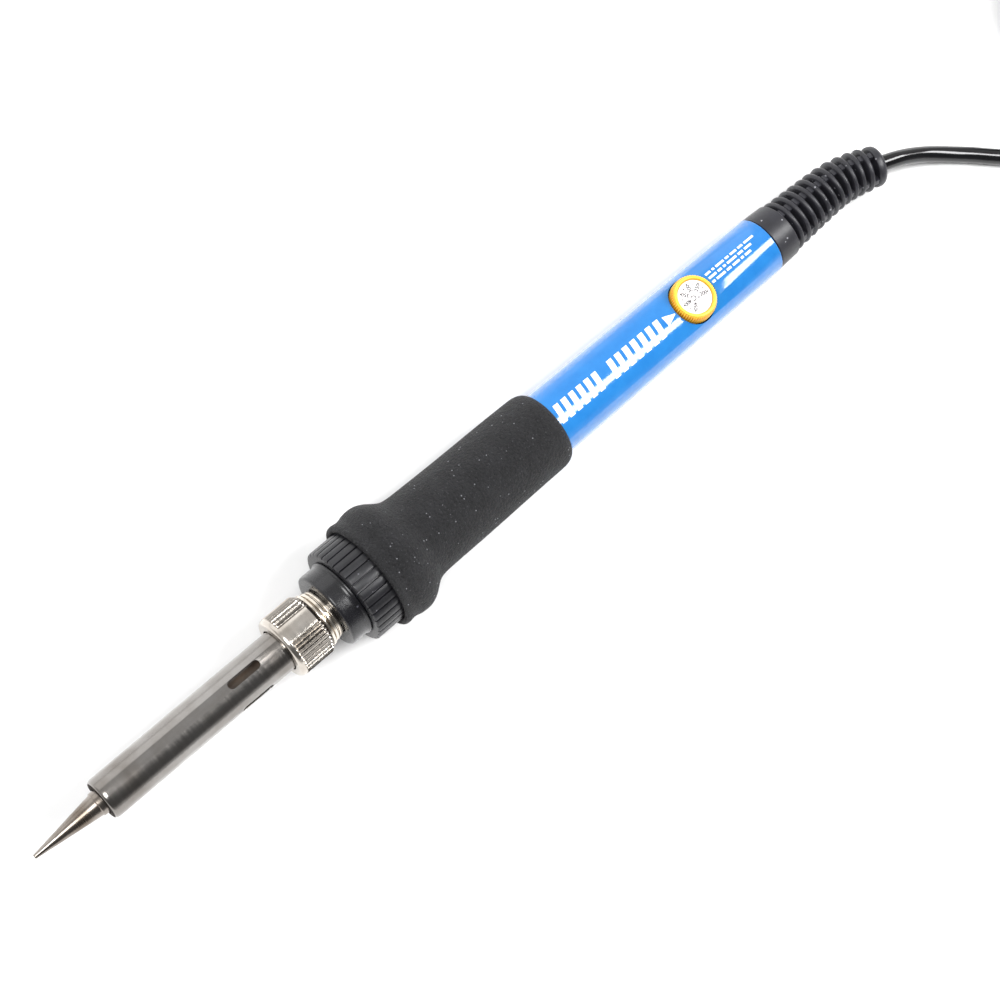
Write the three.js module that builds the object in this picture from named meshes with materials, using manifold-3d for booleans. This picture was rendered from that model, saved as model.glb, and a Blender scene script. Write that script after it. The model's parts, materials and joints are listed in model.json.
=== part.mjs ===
// A mains soldering iron with a temperature dial, lying on a bench with its cord folded in a hank behind it.
// Millimetres. The iron is built along +X from the point of its tip, with the dial on its +Z side,
// and is then tilted so that it rests on its grip and on the rear edge of its handle.

import * as THREE from "three";
import { mergeVertices } from "three/addons/utils/BufferGeometryUtils.js";
import Module from "manifold-3d";

const wasm = await Module();
wasm.setup();

// ---------------------------------------------------------------- driving dimensions

const GAP = 0.3; // clearance between neighbouring pieces
const ROUND = 32; // sides of an ordinary turned piece
const FINE = 40; // sides of the grip and the handle

// Stations along the iron, from the point of the tip.
const BARREL_FRONT = 17.7;
const NUT_FRONT = 67.3;
const NUT_REAR = 77.0;
const NOSE_FRONT = 80.5;
const COLLAR_FRONT = 85.6;
const COLLAR_REAR = 98.2;
const GRIP_FRONT = 92.6;
const GRIP_REAR = 147.3;
const TUBE_FRONT = 90.2;
const TUBE_REAR = 217.4;
const KNOB_STATION = 192.2;

// Working end.
const TIP_LENGTH = 42.5;
const TIP_POINT_R = 0.5;
const TIP_CONE_R = 2.65;
const TIP_SLEEVE_R = 3.25;
const TIP_BORE_R = 2.25;
const HEATER_R = 1.95;
const HEATER_FRONT = 24;
const HEATER_REAR = 95;
const BARREL_R = 5.0;
const BARREL_BORE_R = 4.4;
const BARREL_FLANGE = 69.6;
const FLANGE_THICK = 1.2;
const VENT_STATION = 57;
const VENT_LENGTH = 8.6;
const VENT_WIDTH = 2.1;
const VENT_ROLL = 7; // degrees from the dial side
const NUT_R = 7.6;
const NUT_FLUTES = 44;
const NUT_FLUTE_DEPTH = 0.35;
const THREAD_R = 6.3;
const FERRULE_REAR = 92;
const FERRULE_SPIGOT_R = 5.5;
const BUSH_FRONT = 86; // where the ferrule's bore widens for the heater's bush
const BUSH_BORE_R = 4.0;

// Handle.
const NOSE_R = 9.2;
const NOSE_FLANGE = 88.1;
const NOSE_FLANGE_R = 10.15;
const NOSE_REAR = 100;
const COLLAR_R = 11.9;
const COLLAR_RIBS = 36;
const COLLAR_RIB_DEPTH = 0.7;
const BULGE_STATION = 98.3;
const BULGE_R = 13.95;
const TUBE_BOSS_R = 10.2;
const TUBE_GRIP_R = 8.4; // where it comes out of its front boss
const TUBE_REAR_R = 7.45;
const TUBE_BORE_FRONT_R = 6.4;
const TUBE_BORE_REAR_R = 5.85;

// Dial.
const KNOB_R = 5.5;
const KNOB_TOP = 9.1;
const KNOB_BOTTOM = 4.6;
const KNOB_KNURLS = 48;
const KNOB_KNURL_DEPTH = 0.25;
const DIAL_R = 4.1;
const DIAL_DEPTH = 0.6; // below the knob's rim
const DIAL_THICK = 0.35;
const SHAFT_R = 1.9;
const SHAFT_TOP = 6.4;

// Strain relief.
const CAP_LENGTH = 6.0;
const RELIEF_RINGS = 11;
const RING_PITCH = 2.55;
const RING_WIDTH = 1.2;

// Electronics, on a board below the iron's axis.
const BOARD = { front: 112, rear: 198, half: 3.8, bottom: -4.2, top: -3.0 };
const POT_TOP = 3.2;
const INNER_CORD_FRONT = 204;
const CLAMP_FRONT = 205.8;
const CLAMP_REAR = 208.6;

// Cord, plug and hank, on the bench. X runs from under the point of the tip.
const CORD_R = 2.0;
const CORD_ROUTE = [
  [255.75, -3.82, 6.05],
  [259.6, -5.15, 5.5],
  [263.2, -6.6, 4.5],
  [266.8, -8.4, 3.4],
  [270.2, -10.6, 2.6],
  [273.6, -13.2, 2.15],
  [277.1, -16.15, 2.05],
  [280.8, -19.6, 2.05],
  [284.9, -23.2, 2.05],
  [289.3, -26.05, 2.05],
  [294.2, -27.85, 2.05],
  [299.4, -28.4, 2.05],
  [304.8, -28.0, 2.05],
  [310.4, -27.0, 2.05],
  [316.0, -26.0, 2.05],
];
const TAIL_ROUTE = [
  [381.3, -25.15, 14.3],
  [385.8, -24.7, 13.6],
  [390.4, -23.4, 12.5],
  [395.0, -21.3, 11.2],
  [399.6, -18.8, 9.9],
  [404.2, -16.3, 8.7],
  [408.8, -14.1, 7.75],
  [413.4, -12.6, 7.15],
  [418.4, -12.05, 6.88],
];
const HANK_X = 348.6;
const HANK_Y = -8;
const HANK_RUN = 40.6; // its straight stretch
const HANK_INNER_R = 10.95;
const HANK_OUTER_R = 19.25;
const HANK_HEIGHT = 16.8;
const HANK_BOTTOM = 1.3;
const TIE_THICK = 0.9;
const TIE_WIDTH = 4;
const PLUG_X = 418.8;
const PLUG_Y = -12;
const PLUG_RELIEF = 12;
const PLUG_BODY = 27;
const PLUG_WIDTH = 35.3;
const PLUG_HEIGHT = 13.7;
const PIN_R = 2.0;
const PIN_LENGTH = 19;
const PIN_SPACING = 18.6;

// The angle at which the grip's bulge and the handle's rear edge touch the bench together.
const TILT = Math.asin((BULGE_R - TUBE_REAR_R) / (TUBE_REAR - BULGE_STATION));

// ---------------------------------------------------------------- materials

const material = (color, roughness, metalness) =>
  new THREE.MeshStandardMaterial({ color, roughness, metalness });

const steel = material(0x8f8d8a, 0.3, 1);
const tinned = material(0x9a9794, 0.35, 1);
const nickel = material(0xc9c2b6, 0.25, 1);
const copper = material(0xb87346, 0.35, 1);
const ceramic = material(0xe8e2d6, 0.6, 0);
const glossBlack = material(0x17171a, 0.2, 0);
const moulded = material(0x222226, 0.45, 0);
const rubber = material(0x2b2b2f, 0.85, 0);
const blue = material(0x1f7fe0, 0.25, 0);
const yellow = material(0xffc62e, 0.4, 0);
const white = material(0xf6f6f4, 0.5, 0);
const board = material(0xb98a4a, 0.6, 0);
const redFilm = material(0x9c3b1e, 0.45, 0);
const tan = material(0xcbb387, 0.5, 0);
const glass = material(0x3f6f9a, 0.2, 0);
const pvcBlack = material(0x1b1b1e, 0.4, 0);
const pvcBrown = material(0x6b3d22, 0.45, 0);
const pvcBlue = material(0x2c63b8, 0.45, 0);
const nylon = material(0xeeeeea, 0.5, 0);

// ---------------------------------------------------------------- geometry helpers

const radians = THREE.MathUtils.degToRad;

// The point at radius r and angle roll (degrees, from the dial side towards +Y) of a section.
const rolled = (r, roll) =>
  new THREE.Vector2(-r * Math.cos(radians(roll)), r * Math.sin(radians(roll)));

// A body turned about the X axis from [station, radius] points. They run from the front
// round the outside to the back, and return along the bore of a hollow piece.
function turned(points, sides = ROUND) {
  const profile = points.map(([station, r]) => new THREE.Vector2(r, station));
  return new THREE.LatheGeometry(profile, sides).rotateZ(-Math.PI / 2);
}

// A section in the YZ plane, drawn with rolled(), pushed along X from one station to another.
function pushed(outline, from, to) {
  const settings = { depth: to - from, bevelEnabled: false, curveSegments: 1 };
  return new THREE.ExtrudeGeometry(new THREE.Shape(outline), settings)
    .rotateY(Math.PI / 2)
    .translate(from, 0, 0);
}

// A round bar through points, with the given number of steps along it.
function bar(curve, r, steps, sides) {
  const outline = Array.from({ length: sides }, (_, i) => rolled(r, (360 * i) / sides));
  const settings = { extrudePath: curve, steps, bevelEnabled: false };
  return new THREE.ExtrudeGeometry(new THREE.Shape(outline), settings);
}

const through = (points) =>
  new THREE.CatmullRomCurve3(points.map((p) => new THREE.Vector3(...p)), false, "centripetal");

const block = (x0, x1, y0, y1, z0, z1) =>
  new THREE.BoxGeometry(x1 - x0, y1 - y0, z1 - z0).translate(
    (x0 + x1) / 2,
    (y0 + y1) / 2,
    (z0 + z1) / 2,
  );

// A body turned about the Z axis from [height, radius] points, run from the bottom outwards.
const upright = (points, sides) =>
  new THREE.LatheGeometry(
    points.map(([z, r]) => new THREE.Vector2(r, z)),
    sides,
  ).rotateX(Math.PI / 2);

function solidOf(geometry) {
  const bare = geometry.index ? geometry.toNonIndexed() : geometry.clone();
  bare.deleteAttribute("normal");
  bare.deleteAttribute("uv");
  const merged = mergeVertices(bare, 1e-4);
  return new wasm.Manifold(
    new wasm.Mesh({
      numProp: 3,
      vertProperties: merged.attributes.position.array,
      triVerts: new Uint32Array(merged.index.array),
    }),
  );
}

function geometryOf(solid) {
  const mesh = solid.getMesh();
  const geometry = new THREE.BufferGeometry();
  geometry.setAttribute("position", new THREE.BufferAttribute(mesh.vertProperties, 3));
  geometry.setIndex(new THREE.BufferAttribute(mesh.triVerts, 1));
  geometry.computeVertexNormals();
  return geometry;
}

const cut = (whole, ...tools) =>
  geometryOf(tools.reduce((left, tool) => left.subtract(solidOf(tool)), solidOf(whole)));

const joined = (first, ...others) =>
  geometryOf(others.reduce((sum, other) => sum.add(solidOf(other)), solidOf(first)));

const common = (a, b) => geometryOf(solidOf(a).intersect(solidOf(b)));

function piece(name, geometry, finish) {
  const mesh = new THREE.Mesh(geometry, finish);
  mesh.name = name;
  return mesh;
}

// A toothed outline: count teeth of radius r, with grooves of the given depth that take
// up the given share of each tooth's pitch.
function toothed(r, count, depth, grooveShare) {
  const pitch = 360 / count;
  const half = (grooveShare * pitch) / 2;
  return Array.from({ length: count }, (_, i) => i * pitch).flatMap((at) => [
    rolled(r - depth, at - half / 2),
    rolled(r - depth, at + half / 2),
    rolled(r, at + half),
    rolled(r, at + pitch - half),
  ]);
}

// The handle tube's outer and inner radius at a station behind its front boss.
const along = (station) => (station - COLLAR_REAR) / (TUBE_REAR - COLLAR_REAR);
const tubeR = (station) => THREE.MathUtils.lerp(TUBE_GRIP_R, TUBE_REAR_R, along(station));

// ---------------------------------------------------------------- working end

function solderingTip() {
  const flange = BARREL_FRONT + 1.5;
  return turned([
    [0, 0],
    [0, TIP_POINT_R],
    [16.6, TIP_CONE_R],
    [16.8, 3.0],
    [flange, 3.0],
    [flange, 4.0],
    [flange + 1.4, 4.0],
    [flange + 1.4, TIP_SLEEVE_R],
    [TIP_LENGTH, TIP_SLEEVE_R],
    [TIP_LENGTH, TIP_BORE_R],
    [HEATER_FRONT - 0.8, TIP_BORE_R],
    [HEATER_FRONT - 1.8, 0],
  ]);
}

function barrel() {
  const rear = BARREL_FLANGE + FLANGE_THICK;
  const mouth = 3.35;
  const tube = turned([
    [BARREL_FRONT, mouth],
    [BARREL_FRONT, 3.9],
    [BARREL_FRONT + 0.3, 4.5],
    [BARREL_FRONT + 0.9, 4.87],
    [BARREL_FRONT + 1.7, BARREL_R],
    [BARREL_FLANGE, BARREL_R],
    [BARREL_FLANGE, THREAD_R],
    [rear, THREAD_R],
    [rear, BARREL_BORE_R],
    [BARREL_FRONT + 1.2, BARREL_BORE_R],
    [BARREL_FRONT + 1.2, mouth],
    [BARREL_FRONT, mouth],
  ]);
  return cut(tube, ...[0, 1, 2, 3].map((quarter) => vent(VENT_ROLL + 90 * quarter)));
}

// A round-ended cutter for one of the barrel's vents.
function vent(roll) {
  const r = VENT_WIDTH / 2;
  const half = VENT_LENGTH / 2 - r;
  const slot = new THREE.Shape();
  slot.absarc(half, 0, r, -Math.PI / 2, Math.PI / 2);
  slot.absarc(-half, 0, r, Math.PI / 2, (3 * Math.PI) / 2);
  return new THREE.ExtrudeGeometry(slot, { depth: BARREL_R, bevelEnabled: false, curveSegments: 5 })
    .translate(VENT_STATION, 0, 2)
    .rotateX(-radians(roll));
}

function retainingNut() {
  const fluted = pushed(
    toothed(NUT_R, NUT_FLUTES, NUT_FLUTE_DEPTH, 0.5),
    NUT_FRONT - 1,
    NUT_REAR + 1,
  );
  const envelope = turned([
    [NUT_FRONT, 0],
    [NUT_FRONT, 5.9],
    [NUT_FRONT + 0.5, 7.1],
    [NUT_FRONT + 1.3, NUT_R + 0.1],
    [NUT_REAR - 0.9, NUT_R + 0.1],
    [NUT_REAR, 6.9],
    [NUT_REAR, 0],
  ]);
  const bore = turned([
    [NUT_FRONT - 2, 0],
    [NUT_FRONT - 2, BARREL_R + GAP],
    [BARREL_FLANGE - GAP, BARREL_R + GAP],
    [BARREL_FLANGE - GAP, THREAD_R + 0.35],
    [NUT_REAR + 2, THREAD_R + 0.35],
    [NUT_REAR + 2, 0],
  ]);
  return cut(common(fluted, envelope), bore);
}

function threadedFerrule() {
  const front = BARREL_FLANGE + FLANGE_THICK + GAP;
  const stop = NUT_REAR + GAP;
  const seat = NOSE_FRONT - GAP;
  return turned([
    [front, HEATER_R + 0.45],
    [front, THREAD_R - 0.4],
    [front + 0.4, THREAD_R],
    [stop, THREAD_R],
    [stop, 6.8],
    [stop + 0.8, 6.8],
    [stop + 0.9, THREAD_R - 0.4],
    [stop + 1.3, THREAD_R],
    [stop + 1.7, THREAD_R],
    [stop + 2.1, THREAD_R - 0.4],
    [stop + 2.5, THREAD_R],
    [seat, THREAD_R],
    [seat, FERRULE_SPIGOT_R],
    [FERRULE_REAR, FERRULE_SPIGOT_R],
    [FERRULE_REAR, BUSH_BORE_R],
    [BUSH_FRONT, BUSH_BORE_R],
    [BUSH_FRONT, HEATER_R + 0.45],
    [front, HEATER_R + 0.45],
  ]);
}

function heaterRod() {
  return turned(
    [
      [HEATER_FRONT, 0],
      [HEATER_FRONT, HEATER_R - 0.5],
      [HEATER_FRONT + 0.5, HEATER_R],
      [HEATER_REAR, HEATER_R],
      [HEATER_REAR, 0],
    ],
    20,
  );
}

// The ceramic bush that centres the heater in the ferrule.
function heaterBush() {
  return turned(
    [
      [BUSH_FRONT + GAP, HEATER_R + GAP],
      [BUSH_FRONT + GAP, BUSH_BORE_R - GAP],
      [FERRULE_REAR - GAP, BUSH_BORE_R - GAP],
      [FERRULE_REAR - GAP, HEATER_R + GAP],
      [BUSH_FRONT + GAP, HEATER_R + GAP],
    ],
    20,
  );
}

function heaterLead(side) {
  const route = [
    [HEATER_REAR + GAP, 0.9 * side, 0],
    [99, 1.0 * side, 0],
    [105, 1.8 * side, -1.2],
    [BOARD.front - GAP, 2.2 * side, -2.4],
  ];
  return bar(through(route), 0.4, 8, 6);
}

// ---------------------------------------------------------------- handle

function noseCone() {
  const flangeRear = NOSE_FLANGE + 1.8;
  const mouth = FERRULE_SPIGOT_R + GAP;
  return turned([
    [NOSE_FRONT, mouth],
    [NOSE_FRONT, 8.5],
    [NOSE_FRONT + 0.2, 9.0],
    [NOSE_FRONT + 0.6, NOSE_R],
    [NOSE_FLANGE, NOSE_R],
    [NOSE_FLANGE, NOSE_FLANGE_R],
    [flangeRear, NOSE_FLANGE_R],
    [flangeRear, TUBE_BORE_FRONT_R - GAP],
    [NOSE_REAR, TUBE_BORE_FRONT_R - GAP],
    [NOSE_REAR, 4.2],
    [FERRULE_REAR + 0.4, 4.2],
    [FERRULE_REAR + 0.4, mouth],
    [NOSE_FRONT, mouth],
  ]);
}

function ribbedCollar() {
  const ribs = pushed(
    toothed(COLLAR_R, COLLAR_RIBS, COLLAR_RIB_DEPTH, 0.3),
    COLLAR_FRONT,
    COLLAR_REAR,
  );
  const bore = turned([
    [COLLAR_FRONT - 1, 0],
    [COLLAR_FRONT - 1, NOSE_R + GAP],
    [NOSE_FLANGE - GAP, NOSE_R + GAP],
    [NOSE_FLANGE - GAP, TUBE_BOSS_R + GAP],
    [COLLAR_REAR + 1, TUBE_BOSS_R + GAP],
    [COLLAR_REAR + 1, 0],
  ]);
  return cut(ribs, bore);
}

function gripSleeve() {
  const mouth = COLLAR_R + GAP;
  const step = COLLAR_REAR + 0.4;
  const bore = (station) => tubeR(station) + GAP;
  return turned(
    [
      [GRIP_FRONT, mouth],
      [GRIP_FRONT - 0.2, 12.9],
      [GRIP_FRONT + 0.3, 13.45],
      [GRIP_FRONT + 1.2, 13.6],
      [GRIP_FRONT + 2.5, 13.45],
      [GRIP_FRONT + 4.2, 13.8],
      [BULGE_STATION, BULGE_R],
      [BULGE_STATION + 2, 13.75],
      [BULGE_STATION + 3.8, 13.1],
      [BULGE_STATION + 5.4, 12.0],
      [BULGE_STATION + 7.2, 10.95],
      [BULGE_STATION + 9.5, 10.45],
      [BULGE_STATION + 13, 10.3],
      [GRIP_REAR - 3.5, 9.85],
      [GRIP_REAR - 1.4, 9.65],
      [GRIP_REAR - 0.3, 9.1],
      [GRIP_REAR, 8.6],
      [GRIP_REAR, bore(GRIP_REAR)],
      [step + 0.7, bore(step + 0.7)],
      [step, mouth],
      [GRIP_FRONT, mouth],
    ],
    FINE,
  );
}

function handleTube() {
  const tube = turned(
    [
      [TUBE_FRONT, TUBE_BORE_FRONT_R],
      [TUBE_FRONT, TUBE_BOSS_R],
      [COLLAR_REAR - 0.2, TUBE_BOSS_R],
      [COLLAR_REAR, TUBE_GRIP_R],
      [TUBE_REAR - 0.3, TUBE_REAR_R],
      [TUBE_REAR, TUBE_REAR_R - 0.2],
      [TUBE_REAR, TUBE_BORE_REAR_R],
      [TUBE_FRONT, TUBE_BORE_FRONT_R],
    ],
    FINE,
  );
  const knobHole = new THREE.CylinderGeometry(KNOB_R + 0.35, KNOB_R + 0.35, 12, 32)
    .rotateX(Math.PI / 2)
    .translate(KNOB_STATION, 0, 8);
  return cut(tube, knobHole);
}

// ---------------------------------------------------------------- electronics

const MOUNTED = BOARD.top + GAP; // underside of the parts on the board

function triac() {
  const body = block(121, 131, -3.7, 3.7, MOUNTED, 1.0);
  const tab = block(130.5, 135.5, -3.7, 3.7, MOUNTED, MOUNTED + 1.2);
  return joined(body, tab);
}

const filmCapacitor = () => block(142, 153.5, -2.6, 2.6, MOUNTED, 2.9);

// A bead of an axial part, lying along the board.
function bead(station, length, y, r) {
  return turned(
    [
      [station, 0],
      [station, r * 0.7],
      [station + 0.5, r],
      [station + length - 0.5, r],
      [station + length, r * 0.7],
      [station + length, 0],
    ],
    12,
  ).translate(0, y, MOUNTED + r);
}

function potentiometerBody() {
  const half = 4.6;
  const rim = 4.0;
  return block(KNOB_STATION - half, KNOB_STATION + half, -rim, rim, MOUNTED, POT_TOP);
}

function potentiometerShaft() {
  return upright(
    [
      [POT_TOP + GAP, 0],
      [POT_TOP + GAP, SHAFT_R],
      [SHAFT_TOP, SHAFT_R],
      [SHAFT_TOP, 0],
    ],
    16,
  ).translate(KNOB_STATION, 0, 0);
}

// ---------------------------------------------------------------- dial

function temperatureKnob() {
  const outline = toothed(KNOB_R, KNOB_KNURLS, KNOB_KNURL_DEPTH, 0.6);
  const settings = { depth: KNOB_TOP - KNOB_BOTTOM, bevelEnabled: false };
  const knurled = new THREE.ExtrudeGeometry(new THREE.Shape(outline), settings).translate(
    0,
    0,
    KNOB_BOTTOM,
  );
  const envelope = upright(
    [
      [KNOB_BOTTOM, 0],
      [KNOB_BOTTOM, KNOB_R + 1],
      [KNOB_TOP - 1.2, KNOB_R + 0.2],
      [KNOB_TOP - 0.2, KNOB_R - 0.4],
      [KNOB_TOP, KNOB_R - 0.7],
      [KNOB_TOP, 0],
    ],
    ROUND,
  );
  const recessDepth = DIAL_DEPTH + DIAL_THICK + GAP;
  const recess = new THREE.CylinderGeometry(DIAL_R + 0.2, DIAL_R + 0.2, 2 * recessDepth, ROUND)
    .rotateX(Math.PI / 2)
    .translate(0, 0, KNOB_TOP);
  const bore = new THREE.CylinderGeometry(SHAFT_R + GAP, SHAFT_R + GAP, 6, 16)
    .rotateX(Math.PI / 2)
    .translate(0, 0, SHAFT_TOP + GAP - 3);
  return cut(common(knurled, envelope), recess, bore).translate(KNOB_STATION, 0, 0);
}

function dialLabel() {
  return new THREE.CylinderGeometry(DIAL_R, DIAL_R, DIAL_THICK, ROUND)
    .rotateX(Math.PI / 2)
    .translate(KNOB_STATION, 0, KNOB_TOP - DIAL_DEPTH - DIAL_THICK / 2);
}

// ---------------------------------------------------------------- strain relief

// The line down the middle of the relief, which leans to -Y where the cord pulls it.
const RELIEF_FRONT = 209.3;
const RELIEF_ROUTE = [
  [RELIEF_FRONT, 0, 0],
  [222, 0, 0],
  [235, 0, 0.1],
  [242, -0.15, 0.3],
  [247, -1.0, 0.5],
  [251.5, -2.35, 0.7],
  [255.1, -3.55, 0.8],
];
const reliefLine = through(RELIEF_ROUTE);

// A body turned about the relief's line, from [distance along it, radius] points that close
// on themselves.
function turnedAboutRelief(points, sides) {
  const length = reliefLine.getLength();
  const rings = points.map(([distance, r]) => {
    const t = THREE.MathUtils.clamp(distance / length, 0, 1);
    const centre = reliefLine.getPointAt(t);
    const ahead = reliefLine.getTangentAt(t);
    const side = new THREE.Vector3(0, 0, 1).cross(ahead).normalize();
    const up = ahead.clone().cross(side);
    return Array.from({ length: sides }, (_, i) => {
      const angle = (2 * Math.PI * i) / sides;
      return centre
        .clone()
        .addScaledVector(side, r * Math.sin(angle))
        .addScaledVector(up, r * Math.cos(angle));
    });
  });
  const positions = [];
  const corner = (p) => positions.push(p.x, p.y, p.z);
  for (let k = 0; k < rings.length; k++) {
    const here = rings[k];
    const next = rings[(k + 1) % rings.length];
    for (let i = 0; i < sides; i++) {
      const j = (i + 1) % sides;
      [here[i], next[i], here[j], here[j], next[i], next[j]].forEach(corner);
    }
  }
  const geometry = new THREE.BufferGeometry();
  geometry.setAttribute("position", new THREE.Float32BufferAttribute(positions, 3));
  geometry.computeVertexNormals();
  return geometry;
}

function strainRelief() {
  const length = reliefLine.getLength();
  const bore = CORD_R + GAP;
  const capFront = TUBE_REAR + GAP - RELIEF_FRONT;
  const capRear = capFront + CAP_LENGTH;
  const outer = [
    [0, bore],
    [0, 5.5],
    [capFront, 5.5],
    [capFront, 7.2],
    [capRear, 6.75],
  ];
  for (let i = 0; i < RELIEF_RINGS; i++) {
    const front = capRear + 1.2 + i * RING_PITCH;
    const r = THREE.MathUtils.lerp(6.4, 5.3, i / (RELIEF_RINGS - 1));
    const core = r - 1.9;
    outer.push([front - 0.2, core], [front, r], [front + RING_WIDTH, r]);
    outer.push([front + RING_WIDTH + 0.2, core]);
  }
  outer.push([length - 2.6, 3.7], [length - 2.5, 5.0], [length - 1.0, 5.0], [length - 0.3, 4.5]);
  outer.push([length, 3.8]);
  const boreSteps = 12;
  for (let i = boreSteps; i > 0; i--) outer.push([(length * i) / boreSteps, bore]);
  return turnedAboutRelief(outer, 16);
}

// The end of the cord inside the handle and the relief.
const innerCord = () =>
  bar(through([[INNER_CORD_FRONT, 0, 0], ...RELIEF_ROUTE]), CORD_R - 0.1, 20, 8);

function supplyWire(side) {
  const route = [
    [INNER_CORD_FRONT - GAP, 0.95 * side, 0],
    [201.5, 1.4 * side, -0.8],
    [BOARD.rear + GAP, 2.2 * side, -2.6],
  ];
  return bar(through(route), 0.6, 6, 6);
}

// The nylon tie that keeps the cord from being pulled out through the relief.
function cordClamp() {
  const inner = CORD_R + GAP;
  const band = turned(
    [
      [CLAMP_FRONT, inner],
      [CLAMP_FRONT, 3.2],
      [CLAMP_REAR, 3.2],
      [CLAMP_REAR, inner],
      [CLAMP_FRONT, inner],
    ],
    16,
  );
  return joined(band, block(CLAMP_FRONT - 0.4, CLAMP_REAR + 0.4, -2, 2, -4.8, -2.9));
}

// ---------------------------------------------------------------- cord, hank and plug

// Two half circles of radius r, joined by the hank's straight runs.
function roundEnded(r) {
  const outline = new THREE.Shape();
  outline.absarc(HANK_RUN / 2, 0, r, -Math.PI / 2, Math.PI / 2);
  outline.absarc(-HANK_RUN / 2, 0, r, Math.PI / 2, (3 * Math.PI) / 2);
  return outline;
}

// The outer shape of the folded cord: a round-ended ring.
function cordHank() {
  const bevel = 1;
  const outline = roundEnded(HANK_OUTER_R - bevel);
  outline.holes.push(roundEnded(HANK_INNER_R + bevel));
  return new THREE.ExtrudeGeometry(outline, {
    depth: HANK_HEIGHT - 2 * bevel,
    bevelSize: bevel,
    bevelThickness: bevel,
    bevelSegments: 1,
    curveSegments: 12,
  }).translate(HANK_X, HANK_Y, HANK_BOTTOM + bevel);
}

// A flat tie round both runs of the hank, with its ends twisted together over the middle.
function hankTie() {
  const half = TIE_WIDTH / 2;
  const reach = HANK_OUTER_R + GAP;
  const low = HANK_BOTTOM - GAP;
  const high = HANK_BOTTOM + HANK_HEIGHT + GAP;
  const side = reach + TIE_THICK;
  const band = block(-half, half, -side, side, low - TIE_THICK, high + TIE_THICK);
  const window = block(-half - 1, half + 1, -reach, reach, low, high);
  const twist = block(half - 0.5, half + 7, -1, 1, high - 1.2, high + TIE_THICK - 0.1);
  return joined(cut(band, window), twist).translate(HANK_X, HANK_Y, 0);
}

function plugBody() {
  const back = PLUG_X + PLUG_RELIEF;
  const front = back + PLUG_BODY;
  const half = PLUG_WIDTH / 2;
  const bevel = 2;
  const plan = new THREE.Shape([
    new THREE.Vector2(back + bevel, -5 + bevel),
    new THREE.Vector2(back + 10, -half + bevel),
    new THREE.Vector2(front, -half + bevel),
    new THREE.Vector2(front, half - bevel),
    new THREE.Vector2(back + 10, half - bevel),
    new THREE.Vector2(back + bevel, 5 - bevel),
  ]);
  const slab = new THREE.ExtrudeGeometry(plan, {
    depth: PLUG_HEIGHT - 2 * bevel,
    bevelSize: bevel,
    bevelThickness: bevel,
    bevelSegments: 2,
  }).translate(0, 0, bevel);
  const face = block(back - 5, front, -half - 1, half + 1, -1, PLUG_HEIGHT + 1);
  const relief = turned(
    [
      [PLUG_X, 0],
      [PLUG_X, 3.2],
      [back + bevel + 1, 5.2],
      [back + bevel + 1, 0],
    ],
    20,
  ).translate(0, 0, PLUG_HEIGHT / 2);
  return joined(common(slab, face), relief).translate(0, PLUG_Y, 0);
}

function plugPin(side) {
  const root = PLUG_X + PLUG_RELIEF + PLUG_BODY + GAP;
  return turned(
    [
      [root, 0],
      [root, PIN_R],
      [root + PIN_LENGTH - 1.6, PIN_R],
      [root + PIN_LENGTH - 0.5, 1.4],
      [root + PIN_LENGTH, 0.6],
      [root + PIN_LENGTH, 0],
    ],
    16,
  ).translate(0, PLUG_Y + (side * PIN_SPACING) / 2, PLUG_HEIGHT / 2);
}

// ---------------------------------------------------------------- assembly

const iron = new THREE.Group();
iron.add(
  piece("soldering_tip", solderingTip(), tinned),
  piece("barrel", barrel(), steel),
  piece("retaining_nut", retainingNut(), nickel),
  piece("threaded_ferrule", threadedFerrule(), nickel),
  piece("heater_rod", heaterRod(), ceramic),
  piece("heater_bush", heaterBush(), ceramic),
  piece("heater_lead_left", heaterLead(1), copper),
  piece("heater_lead_right", heaterLead(-1), copper),
  piece("nose_cone", noseCone(), glossBlack),
  piece("ribbed_collar", ribbedCollar(), moulded),
  piece("grip_sleeve", gripSleeve(), rubber),
  piece("handle_tube", handleTube(), blue),
  piece(
    "circuit_board",
    block(BOARD.front, BOARD.rear, -BOARD.half, BOARD.half, BOARD.bottom, BOARD.top),
    board,
  ),
  piece("triac", triac(), moulded),
  piece("film_capacitor", filmCapacitor(), redFilm),
  piece("diac", bead(157, 4, 1.9, 0.9), glass),
  piece("resistor_left", bead(164, 6.5, 2.1, 1.2), tan),
  piece("resistor_right", bead(164, 6.5, -2.1, 1.2), tan),
  piece("potentiometer_body", potentiometerBody(), moulded),
  piece("potentiometer_shaft", potentiometerShaft(), nylon),
  piece("temperature_knob", temperatureKnob(), yellow),
  piece("dial_label", dialLabel(), white),
  piece("strain_relief", strainRelief(), rubber),
  piece("inner_cord", innerCord(), pvcBlack),
  piece("live_wire", supplyWire(1), pvcBrown),
  piece("neutral_wire", supplyWire(-1), pvcBlue),
  piece("cord_clamp", cordClamp(), nylon),
);
iron.rotation.y = TILT;

const cord = new THREE.Group();
cord.add(
  piece("power_cord", bar(through(CORD_ROUTE), CORD_R, 20, 8), pvcBlack),
  piece("cord_hank", cordHank(), pvcBlack),
  piece("cord_tail", bar(through(TAIL_ROUTE), CORD_R, 12, 8), pvcBlack),
  piece("hank_tie", hankTie(), pvcBlack),
  piece("plug_body", plugBody(), pvcBlack),
  piece("plug_pin_left", plugPin(1), nickel),
  piece("plug_pin_right", plugPin(-1), nickel),
);

// The bench is at Z = 0, and the origin is under the middle of the iron without its cord.
const extent = new THREE.Box3().setFromObject(iron, true);
iron.position.z = -extent.min.z;

const part = new THREE.Group();
part.add(iron, cord);
part.position.x = -(extent.min.x + extent.max.x) / 2;

export default part;
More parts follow.
